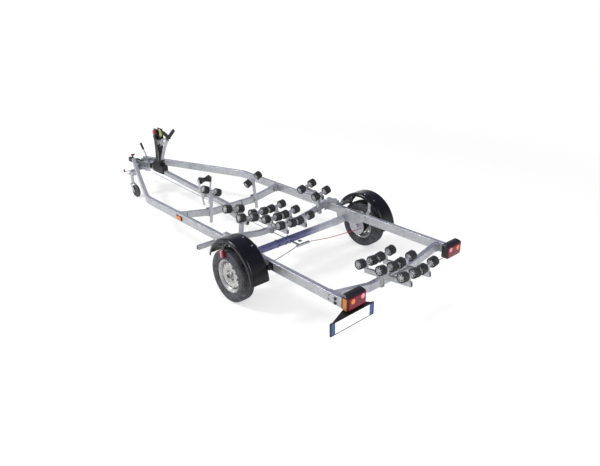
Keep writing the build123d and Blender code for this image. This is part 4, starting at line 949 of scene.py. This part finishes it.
def camera_matrix():
    """Place and turn of the camera: ahead from its turn and dip, then right and top rolled about ahead."""
    turn, dip, roll = np.radians([CAMERA_TURN, CAMERA_DIP, CAMERA_ROLL])
    ahead = np.array([math.cos(dip) * math.cos(turn), math.cos(dip) * math.sin(turn), -math.sin(dip)])
    level = np.array([math.sin(turn), -math.cos(turn), 0])
    above = np.cross(level, ahead)
    right = math.cos(roll) * level + math.sin(roll) * above
    top = -math.sin(roll) * level + math.cos(roll) * above
    rows = [[*row, place] for row, place in zip(np.stack([right, top, -ahead], 1), CAMERA_AT)]
    return Matrix([*rows, [0, 0, 0, 1]])


def floor_material(stage):
    """Matt white floor, shown partly as plain white: the stage's share near the trailer, all of it at 8 m."""
    backdrop = bpy.data.materials.new("matt_white_backdrop")
    backdrop.use_nodes = True
    t = backdrop.node_tree
    t.nodes.clear()
    soft = add(t, "BsdfDiffuse", {"Color": stage.floor})
    white = add(t, "Emission", {"Color": (1, 1, 1, 1), "Strength": 1.0})
    spot = add(t, "TexCoord").outputs["Object"]
    away = add(t, "VectorMath", {0: spot}, operation="LENGTH").outputs["Value"]
    fade = {"Value": away, "From Min": 3.5, "From Max": 8.0, "To Min": stage.whiteness, "To Max": 1.0}
    share = add(t, "MapRange", fade)
    seen = add(t, "Math", {0: seen_share(t), 1: share}, operation="MULTIPLY")
    both = add(t, "MixShader", {0: seen, 1: soft, 2: white})
    add(t, "OutputMaterial", {"Surface": both})
    return backdrop


def studio_world(stage):
    """Even white light; camera and metal see white to a little above the horizon, then a cool ceiling."""
    world = bpy.data.worlds.new("studio")
    world.use_nodes = True
    w = world.node_tree
    w.nodes.clear()
    up = add(w, "SeparateXYZ", {"Vector": add(w, "TexCoord").outputs["Generated"]})
    ceiling = add(w, "ValToRGB", {"Fac": up.outputs["Z"]}, [(0.16, (1, 1, 1, 1)), (0.42, "#7b7fa2")])
    even = add(w, "Background", {"Color": (1, 1, 1, 1), "Strength": stage.fill})
    seen = add(w, "Background", {"Color": ceiling, "Strength": 1.0})
    mix = add(w, "MixShader", {0: seen_share(w), 1: even, 2: seen})
    add(w, "OutputWorld", {"Surface": mix})
    return world


class TRAILER_OT_stage(Operator):
    """Sets up the camera, the pale floor and the soft lights"""

    bl_idname = "trailer.stage"
    bl_label = "Stage"

    def execute(self, context):
        scene = context.scene
        stage = scene.trailer_stage
        camera = bpy.data.objects.new("camera", bpy.data.cameras.new("camera"))
        camera.data.lens, camera.data.sensor_width = LENS, SENSOR
        camera.data.clip_end = 200
        camera.matrix_world = camera_matrix()
        scene.collection.objects.link(camera)
        scene.camera = camera

        mesh = bpy.data.meshes.new("floor")
        corners = [(x * FLOOR_REACH, y * FLOOR_REACH, 0) for x, y in ((-1, -1), (1, -1), (1, 1), (-1, 1))]
        mesh.from_pydata(corners, [], [(0, 1, 2, 3)])
        mesh.materials.append(floor_material(stage))
        floor = bpy.data.objects.new("floor", mesh)
        scene.collection.objects.link(floor)
        scene.world = studio_world(stage)

        # name, place and size in metres, power in watts
        for name, at, size, power in (
            ("key", (4.3, 5.0, 7.2), 2.4, stage.key),
            ("side", (-7.5, 1.0, 4.5), 4.0, stage.key * 0.35),
        ):
            lamp = bpy.data.objects.new(name, bpy.data.lights.new(name, "AREA"))
            lamp.data.shape, lamp.data.size, lamp.data.energy = "DISK", size, power
            aim = (Vector((0, 0, 0.4)) - Vector(at)).to_track_quat("-Z", "Y")
            lamp.matrix_world = Matrix.Translation(at) @ aim.to_matrix().to_4x4()
            scene.collection.objects.link(lamp)
        scene.view_settings.view_transform = "Standard"
        return {"FINISHED"}


class TRAILER_PT_sidebar(Panel):
    """Lists the trailer's operators and sizes"""

    bl_idname = "TRAILER_PT_sidebar"
    bl_label = "Boat trailer"
    bl_space_type = "VIEW_3D"
    bl_region_type = "UI"
    bl_category = "Trailer"

    def draw(self, context):
        for group in (context.scene.trailer_sizes, context.scene.trailer_stage):
            for name in group.__annotations__:
                self.layout.prop(group, name)
        for maker in MAKERS:
            self.layout.operator(maker.bl_idname)


MAKERS = (
    TRAILER_OT_finishes, TRAILER_OT_wheels, TRAILER_OT_fenders, TRAILER_OT_rollers, TRAILER_OT_lamps,
    TRAILER_OT_cables, TRAILER_OT_controls, TRAILER_OT_fasteners, TRAILER_OT_stage,
)
CLASSES = (TrailerSizes, TrailerStage, *MAKERS, TRAILER_PT_sidebar)


def register():
    for kind in CLASSES:
        bpy.utils.register_class(kind)
    bpy.types.Scene.trailer_sizes = PointerProperty(type=TrailerSizes)
    bpy.types.Scene.trailer_stage = PointerProperty(type=TrailerStage)


def unregister():
    del bpy.types.Scene.trailer_stage
    del bpy.types.Scene.trailer_sizes
    for kind in reversed(CLASSES):
        bpy.utils.unregister_class(kind)


def main():
    """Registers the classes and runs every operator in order."""
    register()
    for maker in MAKERS:
        group, name = maker.bl_idname.split(".")
        getattr(getattr(bpy.ops, group), name)()


if __name__ == "__main__":
    main()
